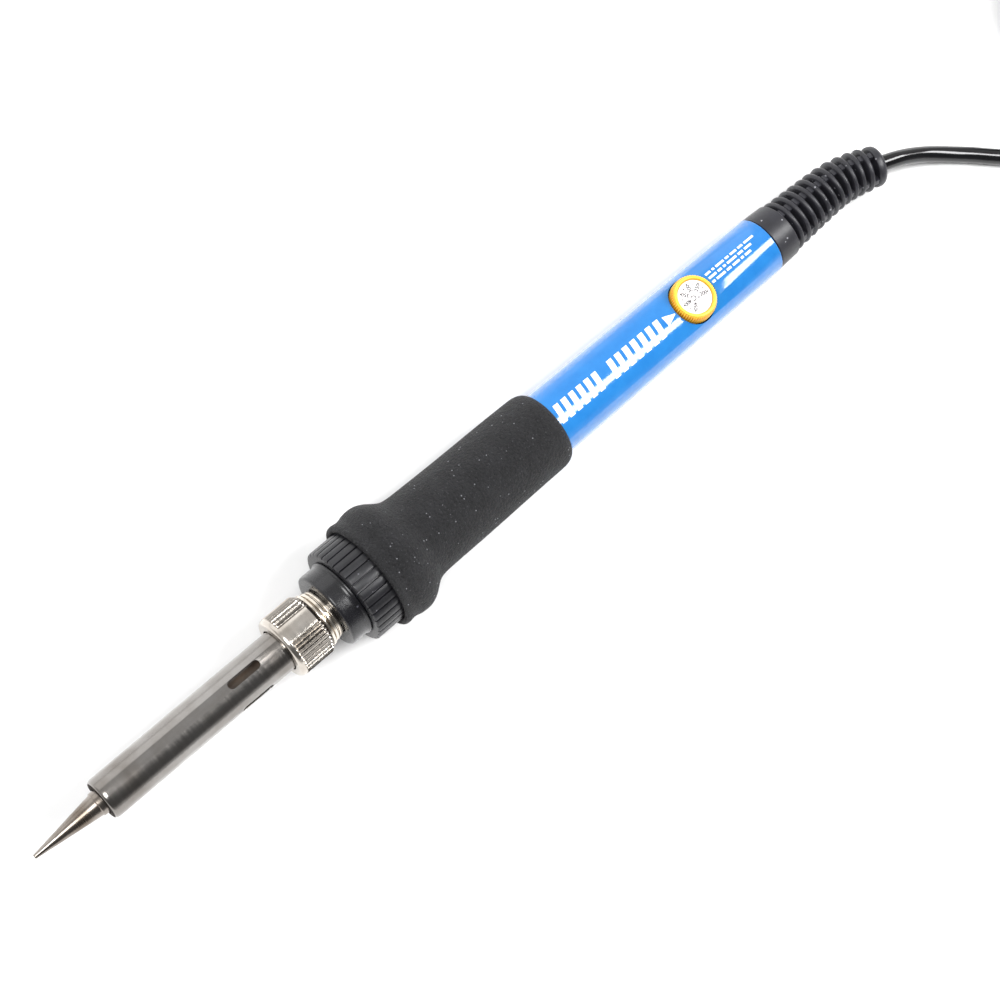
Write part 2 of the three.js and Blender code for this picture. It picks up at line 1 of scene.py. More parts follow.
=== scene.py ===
"""The looks of a mains soldering iron that lies on a bench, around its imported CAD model."""

import json
import math

import bmesh
import bpy
import numpy as np
from mathutils import Matrix, Vector


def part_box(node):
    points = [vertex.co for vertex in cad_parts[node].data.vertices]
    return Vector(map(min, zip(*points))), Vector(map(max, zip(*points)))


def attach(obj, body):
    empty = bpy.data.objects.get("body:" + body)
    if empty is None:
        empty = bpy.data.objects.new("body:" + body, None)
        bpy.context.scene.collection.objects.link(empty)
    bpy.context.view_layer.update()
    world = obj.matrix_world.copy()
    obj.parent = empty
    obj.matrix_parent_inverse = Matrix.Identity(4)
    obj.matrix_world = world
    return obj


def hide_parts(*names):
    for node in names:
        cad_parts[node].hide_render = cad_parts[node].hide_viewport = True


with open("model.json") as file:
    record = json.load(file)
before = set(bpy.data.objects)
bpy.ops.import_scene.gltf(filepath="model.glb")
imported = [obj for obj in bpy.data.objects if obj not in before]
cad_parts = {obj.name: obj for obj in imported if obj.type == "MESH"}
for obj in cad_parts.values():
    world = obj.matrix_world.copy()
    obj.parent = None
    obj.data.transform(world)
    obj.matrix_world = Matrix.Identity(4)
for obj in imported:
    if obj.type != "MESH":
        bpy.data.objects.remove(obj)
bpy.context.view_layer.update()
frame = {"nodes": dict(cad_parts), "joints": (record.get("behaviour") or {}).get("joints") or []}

MM = 0.001

# ------------------------------------------------------------------ the iron's own axes
# Stations run in millimetres from the point of the tip along the iron, with +Z on the dial side.

KNOB_STATION = 192.2
joints = {joint["name"]: joint for joint in frame["joints"]}
AHEAD = -Vector(joints["tip_pull"]["axis"]).normalized()
DIAL_SIDE = Vector(joints["knob_turn"]["axis"]).normalized()
LEFT = DIAL_SIDE.cross(AHEAD)
TIP_POINT = Vector(joints["knob_turn"]["pos_m"]) - KNOB_STATION * MM * AHEAD
IRON = Matrix.Translation(TIP_POINT) @ Matrix((AHEAD, LEFT, DIAL_SIDE)).transposed().to_4x4()

AXIS_R = 1e-4  # stands for a radius of 0
BARREL_FRONT, BARREL_R = 17.7, 5.0
BARREL_MOUTH_R, BARREL_BORE_R, BARREL_FLANGE_R = 3.2, 4.4, 6.3
VENT_STATION, VENT_LENGTH, VENT_WIDTH = 57.0, 8.6, 2.1
VENT_COUNT, VENT_ROLL = 4, 7.0
NUT_FRONT, NUT_REAR, NUT_R = 67.3, 77.0, 7.6
NUT_FRONT_BORE_R, NUT_THREAD_R = 5.3, 6.65
FLUTES, FLUTE_DEPTH = 46, 0.5
NOSE_FRONT, NOSE_R = 80.5, 9.2
COLLAR_FRONT, COLLAR_REAR, COLLAR_R = 85.6, 98.2, 11.9
RIBS, RIB_DEPTH = 36, 0.62
TUBE_FRONT, TUBE_REAR = 90.2, 217.4
TUBE_GRIP_R, TUBE_REAR_R = 8.4, 7.45
KNOB_R, KNOB_TOP, KNOB_BOTTOM = 5.5, 9.1, 4.6
DIAL_R, DIAL_TOP = 4.1, 8.5
RELIEF_FRONT = 209.3
RELIEF_RINGS, RING_PITCH, RING_HALF = 11, 2.55, 0.66
CORD_R = 2.0

RELIEF_ROUTE = [
    (209.3, 0, 0), (222, 0, 0), (235, 0, 0.1), (242, -0.15, 0.3),
    (247, -1.0, 0.5), (251.5, -2.35, 0.7), (255.1, -3.55, 0.8),
]

# ------------------------------------------------------------------ the cord's route
# On the bench, with X from under the point of the tip, in metres.

CORD_START = (0.2524, -0.0028, 0.0062)  # inside the relief
CORD_ROUTE = [
    (0.25575, -0.00382, 0.00605), (0.2596, -0.00515, 0.0055), (0.2632, -0.0066, 0.0045),
    (0.2668, -0.0084, 0.0034), (0.2702, -0.0106, 0.0026), (0.2736, -0.0132, 0.00215),
    (0.2771, -0.01615, 0.00205), (0.2808, -0.0196, 0.00205), (0.2849, -0.0232, 0.00205),
    (0.2893, -0.02605, 0.00205), (0.2942, -0.02785, 0.00205), (0.2994, -0.0284, 0.00205),
    (0.3048, -0.0280, 0.00205), (0.3104, -0.0270, 0.00205), (0.3160, -0.0260, 0.00205),
]
INTO_HANK = (0.3220, -0.02535, 0.00205)
OUT_OF_HANK = (0.3750, -0.0252, 0.01462)
TAIL_ROUTE = [
    (0.3813, -0.02515, 0.0143), (0.3858, -0.0247, 0.0136), (0.3904, -0.0234, 0.0125),
    (0.3950, -0.0213, 0.0112), (0.3996, -0.0188, 0.0099), (0.4042, -0.0163, 0.0087),
    (0.4088, -0.0141, 0.00775), (0.4134, -0.0126, 0.00715), (0.4184, -0.01205, 0.00688),
]
CORD_END = [(0.4220, -0.0120, 0.00685), (0.4260, -0.0120, 0.00685)]  # inside the plug
HANK_CENTRE = (0.3486, -0.0080)
HANK_RUN = 0.0406
HANK_OUTER, HANK_INNER = 0.0172, 0.0130
HANK_PITCH = 0.0042
HANK_REST = 0.00205
HANK_TURNS, HANK_LAYERS = 7, 4
TIE_LIFT, TIE_REACH = 0.0011, 0.006


def catmull(points, parts):
    """A smooth line through points, with that many parts between neighbours."""
    p = np.array(points, float)
    p = np.vstack([2 * p[0] - p[1], p, 2 * p[-1] - p[-2]])
    line = []
    for a, b, c, d in zip(p[:-3], p[1:-2], p[2:-1], p[3:], strict=True):
        for k in range(parts):
            t = k / parts
            line.append(
                0.5 * (2 * b + (c - a) * t + (2 * a - 5 * b + 4 * c - d) * t**2
                       + (3 * b - a - 3 * c + d) * t**3)
            )
    return np.array([*line, p[-2]])


def hank_place(turned, radius):
    """A point of an oval turn: lower run, right fold, upper run, left fold, a quarter each."""
    quarter = turned % 1 * 4
    x, y = HANK_CENTRE
    if quarter < 1:
        return x + HANK_RUN * (quarter - 0.5), y - radius
    if quarter < 2:
        angle = math.pi * (quarter - 1.5)
        return x + HANK_RUN / 2 + radius * math.cos(angle), y + radius * math.sin(angle)
    if quarter < 3:
        return x - HANK_RUN * (quarter - 2.5), y + radius
    angle = math.pi * (quarter - 2.5)
    return x - HANK_RUN / 2 + radius * math.cos(angle), y + radius * math.sin(angle)


def hank_points():
    """The hank's turns: outer and inner ones by turns, layer upon layer, held up by its tie."""
    slots = []
    for layer in range(HANK_LAYERS):
        order = (HANK_OUTER, HANK_INNER) if layer % 2 == 0 else (HANK_INNER, HANK_OUTER)
        slots += [(radius, layer) for radius in order]
    points = []

    def add(turned, radius, level):
        x, y = hank_place(turned, radius)
        lift = TIE_LIFT * math.exp(-(((x - HANK_CENTRE[0]) / TIE_REACH) ** 2))
        points.append((x, y, HANK_REST + level * HANK_PITCH + lift))

    steps = 40
    change_takes = 0.3
    for turn_number in range(HANK_TURNS):
        (radius, level), (next_radius, next_level) = slots[turn_number:turn_number + 2]
        change_at = 0.25 + 0.075 * (HANK_TURNS - 1 - turn_number)
        for k in range(steps):
            share = min(max((k / steps - change_at) / change_takes, 0.0), 1.0)
            share = share * share * (3 - 2 * share)
            add(k / steps, radius + (next_radius - radius) * share,
                level + (next_level - level) * share)
    points_in_last_quarter = steps // 4 + 1
    for k in range(points_in_last_quarter):
        add(k / steps, *slots[-1])
    return points


def make_cord():
    """The whole cord as one line: out of the relief, through its hank and into the plug."""
    route = [CORD_START, *CORD_ROUTE, INTO_HANK, *hank_points(), OUT_OF_HANK, *TAIL_ROUTE,
             *CORD_END]
    line = catmull(route, 4) + np.array([TIP_POINT.x, 0, 0])
    curve = bpy.data.curves.new("power_cord_line", "CURVE")
    curve.dimensions = "3D"
    curve.bevel_depth = CORD_R * MM
    curve.bevel_resolution = 6
    curve.use_fill_caps = True
    spline = curve.splines.new("POLY")
    spline.points.add(len(line) - 1)
    spline.points.foreach_set("co", np.c_[line, np.ones(len(line))].ravel())
    spline.use_smooth = True
    cord = bpy.data.objects.new("mains_cord", curve)
    bpy.context.scene.collection.objects.link(cord)
    return cord


# ------------------------------------------------------------------ camera

LENS = 85.9
CAMERA_PLACE = (-41.93, -41.21, 503.36)  # in the iron's axes, in millimetres, as the aim is
CAMERA_AIM = (127.39, -6.01, 0.0)
AXIS_IN_PICTURE = math.radians(40.33)  # the iron's axis against the picture's lower edge


def make_camera():
    """A camera placed and turned by the iron's own axes."""
    place = IRON @ (Vector(CAMERA_PLACE) * MM)
    forward = (IRON @ (Vector(CAMERA_AIM) * MM) - place).normalized()
    across = (AHEAD - AHEAD.dot(forward) * forward).normalized()
    below = forward.cross(across)
    right = math.cos(AXIS_IN_PICTURE) * across + math.sin(AXIS_IN_PICTURE) * below
    up = right.cross(forward)
    data = bpy.data.cameras.new("camera")
    data.lens = LENS
    data.clip_start = 0.01
    camera = bpy.data.objects.new("camera", data)
    camera.matrix_world = Matrix.Translation(place) @ Matrix(
        (right, up, -forward)
    ).transposed().to_4x4()
    bpy.context.scene.collection.objects.link(camera)
    bpy.context.scene.camera = camera


# ------------------------------------------------------------------ mesh helpers

def mesh_object(name, vertices, faces, sharp=35):
    """A mesh in the iron's axes, from points in millimetres, smooth up to an angle in degrees."""
    mesh = bpy.data.meshes.new(name)
    mesh.from_pydata([tuple(v) for v in np.asarray(vertices, float) * MM], [], faces)
    finish_mesh(mesh, sharp)
    mesh.transform(IRON)
    obj = bpy.data.objects.new(name, mesh)
    bpy.context.scene.collection.objects.link(obj)
    return obj


def finish_mesh(mesh, sharp):
    """Merges equal points, turns the faces outwards and shades them smooth up to an angle."""
    work = bmesh.new()
    work.from_mesh(mesh)
    bmesh.ops.remove_doubles(work, verts=work.verts, dist=1e-7)
    bmesh.ops.dissolve_degenerate(work, edges=work.edges, dist=1e-8)
    bmesh.ops.recalc_face_normals(work, faces=work.faces)
    work.to_mesh(mesh)
    work.free()
    mesh.polygons.foreach_set("use_smooth", [True] * len(mesh.polygons))
    mesh.set_sharp_from_angle(angle=math.radians(sharp))


def fillet(points, steps=6):
    """A profile whose corners are rounded, from [station, radius, size of fillet] points."""
    profile = []
    for i, (u, r, size) in enumerate(points):
        here = np.array([u, r], float)
        if size == 0 or i in (0, len(points) - 1):
            profile.append(here)
            continue
        before = np.array(points[i - 1][:2], float) - here
        after = np.array(points[i + 1][:2], float) - here
        reach_b = min(size, 0.49 * np.linalg.norm(before))
        reach_a = min(size, 0.49 * np.linalg.norm(after))
        start = here + before / np.linalg.norm(before) * reach_b
        end = here + after / np.linalg.norm(after) * reach_a
        for k in range(steps + 1):
            t = k / steps
            profile.append((1 - t) ** 2 * start + 2 * t * (1 - t) * here + t * t * end)
    return profile


def lattice(name, rows, sharp=35, closed=True):
    """A tube of rows, each row a ring of points. closed joins the last row to the first."""
    rows = np.asarray(rows, float)
    count, sides = rows.shape[:2]
    faces = []
    for k in range(count if closed else count - 1):
        a, b = k * sides, (k + 1) % count * sides
        for i in range(sides):
            j = (i + 1) % sides
            faces.append((a + i, a + j, b + j, b + i))
    if not closed:
        faces.append(tuple(range(sides))[::-1])
        faces.append(tuple(range((count - 1) * sides, count * sides)))
    return mesh_object(name, rows.reshape(-1, 3), faces, sharp)


def ring(station, radii, rolls):
    """Points round the iron's axis, at one station."""
    return np.stack([
        np.full(len(rolls), station), radii * np.sin(rolls), radii * np.cos(rolls),
    ], axis=1)


def rolls_of(sides):
    return np.arange(sides) * math.tau / sides


def turn(name, points, sides=96, sharp=35, closed=True):
    """A piece turned about the iron's axis, from [station, radius, fillet] points."""
    rolls = rolls_of(sides)
    rows = [ring(u, np.full(sides, max(r, AXIS_R)), rolls) for u, r in fillet(points)]
    return lattice(name, rows, sharp, closed)


def upright(rows):
    """Rows of points turned about Z and moved to the knob's axis."""
    rows = np.asarray(rows, float)
    rows[..., 0] += KNOB_STATION
    return rows


def circle(height, radii, angles):
    """Points round the Z axis, at one height."""
    return np.stack([
        radii * np.cos(angles), radii * np.sin(angles), np.full(len(angles), height),
    ], axis=1)


def apply_modifiers(obj, sharp=35):
    """Puts the outcome of a piece's modifiers in its own mesh."""
    depsgraph = bpy.context.evaluated_depsgraph_get()
    mesh = bpy.data.meshes.new_from_object(obj.evaluated_get(depsgraph))
    obj.modifiers.clear()
    obj.data = mesh
    finish_mesh(mesh, sharp)


def joined(name, objects, sharp=35):
    """One piece from several meshes that share the same axes."""
    work = bmesh.new()
    for obj in objects:
        work.from_mesh(obj.data)
    mesh = bpy.data.meshes.new(name)
    work.to_mesh(mesh)
    work.free()
    mesh.set_sharp_from_angle(angle=math.radians(sharp))
    whole = bpy.data.objects.new(name, mesh)
    bpy.context.scene.collection.objects.link(whole)
    for obj in objects:
        bpy.data.objects.remove(obj)
    return whole


# ------------------------------------------------------------------ material helpers

class Nodes:
    """A material's node tree, with short ways to add nodes. Its coordinates are the iron's."""

    def __init__(self, name):
        self.material = bpy.data.materials.new(name)
        self.material.use_nodes = True
        self.tree = self.material.node_tree
        self.shader = self.tree.nodes["Principled BSDF"]
        to_iron = IRON.inverted()
        self.coordinates = self.node("Mapping", {
            "Vector": self.tree.nodes.new("ShaderNodeTexCoord").outputs["Object"],
            "Location": to_iron.translation, "Rotation": to_iron.to_euler(),
        }).outputs[0]

    def set(self, **values):
        for key, value in values.items():
            self.shader.inputs[key.replace("_", " ")].default_value = value
        return self

    def link(self, output, key):
        self.tree.links.new(output, self.shader.inputs[key])

    def node(self, kind, inputs=(), **settings):
        made = self.tree.nodes.new("ShaderNode" + kind)
        for key, value in settings.items():
            setattr(made, key, value)
        for key, value in dict(inputs).items():
            if isinstance(value, bpy.types.NodeSocket):
                self.tree.links.new(value, made.inputs[key])
            else:
                made.inputs[key].default_value = value
        return made

    def stretched(self, scale):
        return self.node("Mapping", {"Vector": self.coordinates, "Scale": scale}).outputs[0]

    def noise(self, scale, detail=3.0, roughness=0.5, vector=None):
        return self.node("TexNoise", {
            "Vector": vector or self.coordinates, "Scale": scale, "Detail": detail,
            "Roughness": roughness,
        }).outputs["Fac"]

    def cells(self, scale, vector=None, output="Distance"):
        return self.node("TexVoronoi", {
            "Vector": vector or self.coordinates, "Scale": scale,
        }).outputs[output]

    def span(self, value, low, high, to_low, to_high):
        return self.node("MapRange", {
            "Value": value, "From Min": low, "From Max": high, "To Min": to_low,
            "To Max": to_high,
        }).outputs[0]

    def math(self, operation, a, b=0.0):
        return self.node("Math", {0: a, 1: b}, operation=operation).outputs[0]

    def mix(self, factor, a, b):
        return self.node("Mix", {"Factor": factor, 6: a, 7: b}, data_type="RGBA").outputs[2]

    def bump(self, height, strength, distance, normal=None):
        inputs = {"Height": height, "Strength": strength, "Distance": distance}
        if normal is not None:
            inputs["Normal"] = normal
        return self.node("Bump", inputs).outputs[0]

    def radius(self):
        """The distance from the iron's axis."""
        parts = self.node("SeparateXYZ", {0: self.coordinates}).outputs
        return self.math("SQRT", self.math(
            "ADD", self.math("POWER", parts[1], 2.0), self.math("POWER", parts[2], 2.0)
        ))


def tint(r, g, b):
    """A colour from its usual 0 to 255 values."""
    def linear(value):
        value /= 255
        return value / 12.92 if value <= 0.04045 else ((value + 0.055) / 1.055) ** 2.4
    return linear(r), linear(g), linear(b), 1.0


def metal(name, light, dark, roughness, brush, brush_bump, pits=0.0, hollow=0.0, grooves=()):
    """Metal with fine marks of turning round its axis, and faint stains.

    Painted shade darkens it inside the radius hollow. grooves is the station where grooves start,
    then the radius at their bottom and at their top, in metres: painted shade darkens them
    towards the bottom.
    """
    n = Nodes(name).set(Metallic=1.0)
    across = 90.0
    marks = n.noise(1.0, 4.0, 0.6, n.stretched((brush, across, across)))
    stains = n.noise(130.0, 4.0)
    base = n.mix(n.span(stains, 0.35, 0.7, 0.0, 1.0), light, dark)
    rough = n.math("ADD", n.span(marks, 0.3, 0.7, -0.05, 0.06),
                   n.span(stains, 0.3, 0.7, roughness - 0.03, roughness + 0.05))
    if hollow:
        # Painted shade: inside the hollow radius the bore is darkened and made rougher.
        inside = n.math("LESS_THAN", n.radius(), hollow)
        base = n.mix(inside, base, tint(44, 36, 30))
        rough = n.math("MAXIMUM", rough, n.math("MULTIPLY", inside, 0.7))
    if grooves:
        start, bottom, top = grooves
        station = n.node("SeparateXYZ", {0: n.coordinates}).outputs[0]
        # Painted shade in the grooves, darker towards their bottom.
        groove_shade = n.span(n.radius(), bottom, top, 0.8, 0.0)
        fade = 0.4 * MM
        groove_shade = n.math("MULTIPLY", groove_shade, n.span(station, start, start + fade, 0.0, 1.0))
        base = n.mix(groove_shade, base, tint(104, 98, 92))
    n.link(base, "Base Color")
    n.link(rough, "Roughness")
    normal = n.bump(marks, brush_bump, 0.00002)
    if pits:
        spots = n.span(n.cells(1400.0), 0.05, 0.22, 0.0, 1.0)
        normal = n.bump(spots, pits, 0.00003, normal)
    n.link(normal, "Normal")
    return n.material


def plastic(name, colour, shade, roughness, grain, grain_bump, coat=0.0, specks=(),
            bump_depth=0.00012):
    """Moulded plastic or rubber: mottled colour, a grained surface and layers of light specks.

    Each layer of specks is the scale of its cells, the share of them with a speck, and a colour.
    """
    n = Nodes(name).set(Coat_Weight=coat, Coat_Roughness=0.08)
    mottle = n.noise(220.0, 4.0, 0.6)
    base = n.mix(n.span(mottle, 0.35, 0.65, 0.0, 1.0), colour, shade)
    fine = n.noise(grain, 3.0, 0.65)
    rough = n.span(fine, 0.3, 0.7, roughness - 0.06, roughness + 0.08)
    for scale, share, colour_of_specks in specks:
        near = n.cells(scale)
        chosen = n.node("SeparateColor", {0: n.cells(scale, output="Color")}).outputs[0]
        dust = n.math("MULTIPLY", n.span(near, 0.16, 0.3, 1.0, 0.0),
                      n.math("LESS_THAN", chosen, share))
        base = n.mix(dust, base, colour_of_specks)
    n.link(base, "Base Color")
    n.link(rough, "Roughness")
    n.link(n.bump(fine, grain_bump, bump_depth), "Normal")
    return n.material


# ------------------------------------------------------------------ materials

def make_materials():
    """Each material, under a short name."""
    looks = {}
    looks["tip"] = metal("tip_plating", tint(160, 154, 148), tint(116, 106, 96), 0.2, 5200.0, 0.3)
    # The barrel steel gets painted shade inside its bore.
    looks["steel"] = metal(
        "barrel_steel", tint(154, 151, 148), tint(130, 125, 120), 0.18, 3600.0, 0.14,
        hollow=0.00455
    )
    looks["nickel"] = metal(
        "nickel_plate", tint(228, 220, 208), tint(190, 180, 166), 0.16, 2600.0, 0.12, pits=0.12
    )
    # The nut's flutes get painted shade towards the bottom of their grooves.
    looks["nut"] = metal(
        "nut_plate", tint(216, 210, 202), tint(184, 176, 166), 0.16, 2600.0, 0.12, pits=0.2,
        grooves=(0.0687, 0.0071, 0.00748)
    )
    looks["pin"] = metal("pin_metal", tint(226, 222, 214), tint(196, 190, 178), 0.16, 2600.0, 0.1)
    looks["lead"] = metal("heater_lead", tint(205, 150, 110), tint(150, 98, 66), 0.3, 1500.0, 0.2)
    looks["ceramic"] = plastic(
        "heater_ceramic", tint(92, 77, 64), tint(70, 58, 48), 0.6, 2600.0, 0.1
    )
    looks["nose"] = plastic(
        "nose_plastic", tint(24, 24, 28), tint(18, 18, 21), 0.24, 2200.0, 0.03, coat=0.15,
        specks=[(900.0, 0.06, tint(84, 84, 92))],
    )
    looks["collar"] = plastic(
        "collar_plastic", tint(32, 32, 36), tint(25, 25, 28), 0.34, 3000.0, 0.1,
        specks=[(1300.0, 0.06, tint(92, 92, 98))],
    )
    looks["grip"] = plastic(
        "grip_rubber", tint(26, 26, 29), tint(14, 14, 17), 0.7, 1500.0, 1.0, bump_depth=0.0012,
        specks=[(2000.0, 0.3, tint(54, 54, 58)), (1500.0, 0.05, tint(130, 130, 135))],
    )
    looks["blue"] = plastic(
        "handle_plastic", tint(38, 121, 192), tint(32, 114, 186), 0.1, 900.0, 0.01, coat=0.5
    )
    looks["print"] = plastic(
        "handle_print", tint(250, 250, 252), tint(238, 240, 246), 0.42, 2400.0, 0.06
    )
    looks["dial"] = plastic(
        "dial_film", tint(250, 250, 250), tint(242, 241, 240), 0.45, 2400.0, 0.03
    )
    looks["ink"] = plastic("dial_ink", tint(52, 36, 44), tint(40, 28, 36), 0.5, 2400.0, 0.03)
    looks["yellow"] = knob_material()
    looks["relief"] = plastic(
        "relief_rubber", tint(38, 38, 44), tint(30, 30, 35), 0.42, 2400.0, 0.15,
        specks=[(1100.0, 0.04, tint(150, 150, 156))],
    )
    looks["cord"] = plastic(
        "cord_pvc", tint(16, 16, 18), tint(11, 11, 13), 0.13, 1500.0, 0.03, coat=0.15
    )
    looks["plug"] = plastic("plug_plastic", tint(34, 34, 37), tint(27, 27, 30), 0.42, 4200.0, 0.35)
    looks["tie"] = plastic("tie_plastic", tint(28, 28, 30), tint(22, 22, 24), 0.35, 2400.0, 0.1)
    looks["board"] = plastic(
        "board_laminate", tint(190, 142, 76), tint(160, 112, 54), 0.5, 1800.0, 0.1
    )
    looks["black"] = plastic("package_black", tint(38, 38, 41), tint(30, 30, 33), 0.45, 3600.0, 0.15)
    looks["red"] = plastic("capacitor_film", tint(158, 60, 30), tint(128, 42, 20), 0.3, 900.0, 0.1)
    looks["tan"] = plastic("resistor_body", tint(206, 180, 134), tint(186, 158, 112), 0.4, 900.0, 0.1)
    looks["glass"] = plastic("diac_glass", tint(70, 116, 160), tint(44, 82, 124), 0.15, 900.0, 0.02)
    looks["nylon"] = plastic("nylon", tint(236, 236, 232), tint(222, 222, 216), 0.4, 1500.0, 0.08)
    looks["brown"] = plastic("brown_pvc", tint(108, 62, 34), tint(88, 48, 24), 0.35, 1500.0, 0.05)
    looks["wire_blue"] = plastic("blue_pvc", tint(44, 98, 184), tint(32, 80, 160), 0.35, 1500.0, 0.05)
    return looks


def knob_material():
    """Yellow plastic with painted shade: deeper and more orange between its knurls on the side."""
    n = Nodes("knob_plastic").set(Subsurface_Weight=0.12, Subsurface_Scale=0.0006)
    parts = n.node("SeparateXYZ", {0: n.coordinates}).outputs
    from_axis = n.math("SUBTRACT", parts[0], KNOB_STATION * MM)
    reach = n.math("SQRT", n.math(
        "ADD", n.math("POWER", from_axis, 2.0), n.math("POWER", parts[1], 2.0)
    ))
    # Painted shade: a deeper orange between the knurls, only on the knob's side.
    depth = n.span(reach, (KNOB_R - 0.3) * MM, (KNOB_R - 0.05) * MM, 1.0, 0.0)
    on_side = n.span(parts[2], (KNOB_TOP - 1.1) * MM, (KNOB_TOP - 0.7) * MM, 1.0, 0.0)
    mottle = n.span(n.noise(300.0, 3.0), 0.35, 0.65, 0.0, 0.25)
    base = n.mix(mottle, tint(255, 208, 62), tint(255, 196, 44))
    n.link(n.mix(n.math("MULTIPLY", depth, on_side), base, tint(240, 142, 14)), "Base Color")
    fine = n.noise(2600.0, 3.0)
    n.link(n.span(fine, 0.3, 0.7, 0.32, 0.45), "Roughness")
    n.link(n.bump(fine, 0.08, 0.00005), "Normal")
    return n.material


def show(obj, material, body, slot, *nodes):
    """Gives a piece its material and its body, and hides the CAD nodes it stands for. slot is not
    used.
    """
    obj.data.materials.clear()
    obj.data.materials.append(material)
    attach(obj, body)
    if nodes:
        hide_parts(*nodes)
    return obj


# ------------------------------------------------------------------ working end

def soldering_tip():
    """The cone with its small flat point, the flange and the sleeve that slides over the heater."""
    return turn("tip_bit", [
        (0, 0, 0), (0, 0.5, 0.15), (16.3, 2.62, 0.1), (16.45, 2.88, 0.08), (17.3, 2.92, 0.1),
        (19.2, 3.0, 0), (19.2, 4.0, 0.1), (20.6, 4.0, 0.1), (20.6, 3.25, 0.1),
        (42.5, 3.25, 0.2), (42.5, 2.25, 0.15), (23.2, 2.25, 0.3), (22.2, 0, 0),
    ], sides=96, sharp=28, closed=False)


def vent_cutter(roll):
    """A slot with round ends, to be cut through the barrel's wall at a roll in degrees."""
    half = (VENT_LENGTH - VENT_WIDTH) / 2
    parts = 12
    around = []
    for centre, start in ((half, -90), (-half, 90)):
        for k in range(parts + 1):
            angle = math.radians(start + 180 / parts * k)
            around.append((
                VENT_STATION + centre + VENT_WIDTH / 2 * math.cos(angle),
                VENT_WIDTH / 2 * math.sin(angle),
            ))
    turned = Matrix.Rotation(-math.radians(roll), 3, "X")
    rows = [[turned @ Vector((x, y, z)) for x, y in around]
            for z in (BARREL_R / 2, BARREL_R + 2)]
    return lattice("vent_cutter", rows, closed=False)


def barrel():
    """A tube turned in at its mouth and flanged at its rear, with vents round it."""
    tube = turn("barrel_tube", [
        (BARREL_FRONT, BARREL_MOUTH_R, 0), (BARREL_FRONT, BARREL_R, 1.5), (69.6, BARREL_R, 0.1),
        (69.6, BARREL_FLANGE_R, 0.15), (70.8, BARREL_FLANGE_R, 0.15), (70.8, BARREL_BORE_R, 0.1),
        (18.9, BARREL_BORE_R, 0.3), (18.9, BARREL_MOUTH_R, 0.1), (BARREL_FRONT, BARREL_MOUTH_R, 0),
    ], sides=160)
    cutters = [vent_cutter(VENT_ROLL + 360 / VENT_COUNT * k) for k in range(VENT_COUNT)]
    for cutter in cutters:
        modifier = tube.modifiers.new("vent", "BOOLEAN")
        modifier.object = cutter
        modifier.operation = "DIFFERENCE"
        modifier.solver = "EXACT"
    edges = tube.modifiers.new("edges", "BEVEL")
    edges.width = 0.1 * MM
    edges.segments = 2
    edges.limit_method = "ANGLE"
    edges.angle_limit = math.radians(40)
    apply_modifiers(tube)
    for cutter in cutters:
        bpy.data.objects.remove(cutter)
    return tube


def retaining_nut():
    """A fluted nut with a smooth shoulder, and one plain panel among its flutes."""
    per_flute = 10
    rolls = rolls_of(FLUTES * per_flute)
    depth = FLUTE_DEPTH * np.abs(np.sin(rolls * FLUTES / 2)) ** 0.9
    panel = (rolls > math.radians(360 - 8)) | (rolls < math.radians(24.4))
    depth = np.where(panel, 0.1, depth)
    outside = fillet([
        (NUT_FRONT, NUT_FRONT_BORE_R, 0), (NUT_FRONT, NUT_R, 1.6), (76.1, NUT_R, 0.2),
        (NUT_REAR, 6.9, 0.2), (NUT_REAR, NUT_THREAD_R, 0),
    ], 9)
    outside += [(u, NUT_R) for u in (68.95, 69.1, 69.5, 71, 73, 75.8)]
    outside = sorted(outside[1:], key=lambda point: point[0])
    flutes_start, run_out = 68.5, 0.4
    rows = []
    for u, r in outside:
        fluted = min(max((u - flutes_start) / run_out, 0.0), 1.0)
        rows.append(ring(u, np.minimum(r, NUT_R - depth * fluted), rolls))
    for u, r in ((69.3, NUT_THREAD_R), (69.3, NUT_FRONT_BORE_R), (NUT_FRONT, NUT_FRONT_BORE_R)):
        rows.append(ring(u, np.full(len(rolls), r), rolls))
    return lattice("fluted_nut", rows, sharp=42)


def threaded_ferrule():
    """A screw thread behind the stop, and three rounded rings between the nut and the nose."""
    sides = 96
    rolls = rolls_of(sides)
    thread_front, thread_rear, step = 71.1, 76.9, 0.07
    thread_root_r, thread_height = 5.75, 0.55
    heater_bore_r = 2.4
    rows = [ring(thread_front, np.full(sides, heater_bore_r), rolls)]
    for u in np.arange(thread_front, thread_rear, step):
        phase = (u - rolls / math.tau) % 1.0
        height = np.clip(1.6 - np.abs(phase - 0.5) * 4.4, 0.0, 1.0)
        rows.append(ring(u, thread_root_r + thread_height * height, rolls))
    profile = [(76.95, 5.8, 0), (77.1, 5.8, 0), (77.1, 6.75, 0.3), (77.9, 6.75, 0.3),
               (77.95, 5.8, 0), (78.15, 5.8, 0), (78.2, 6.38, 0.35), (79.1, 6.38, 0.35),
               (79.15, 5.8, 0), (79.35, 5.8, 0), (79.4, 6.12, 0.25), (80.2, 6.12, 0.2),
               (80.25, 5.5, 0), (92, 5.5, 0), (92, 4.0, 0), (86, 4.0, 0),
               (86, heater_bore_r, 0)]
    rows += [ring(u, np.full(sides, r), rolls) for u, r in fillet(profile)]
    return lattice("screw_ferrule", rows, sharp=40)


def heater_rod():
    """The ceramic rod that the tip slides over."""
    return turn("ceramic_heater", [
        (24, 0, 0), (24, 1.95, 0.6), (95, 1.95, 0.2), (95, 0, 0),
    ], sides=48, closed=False)


# ------------------------------------------------------------------ handle

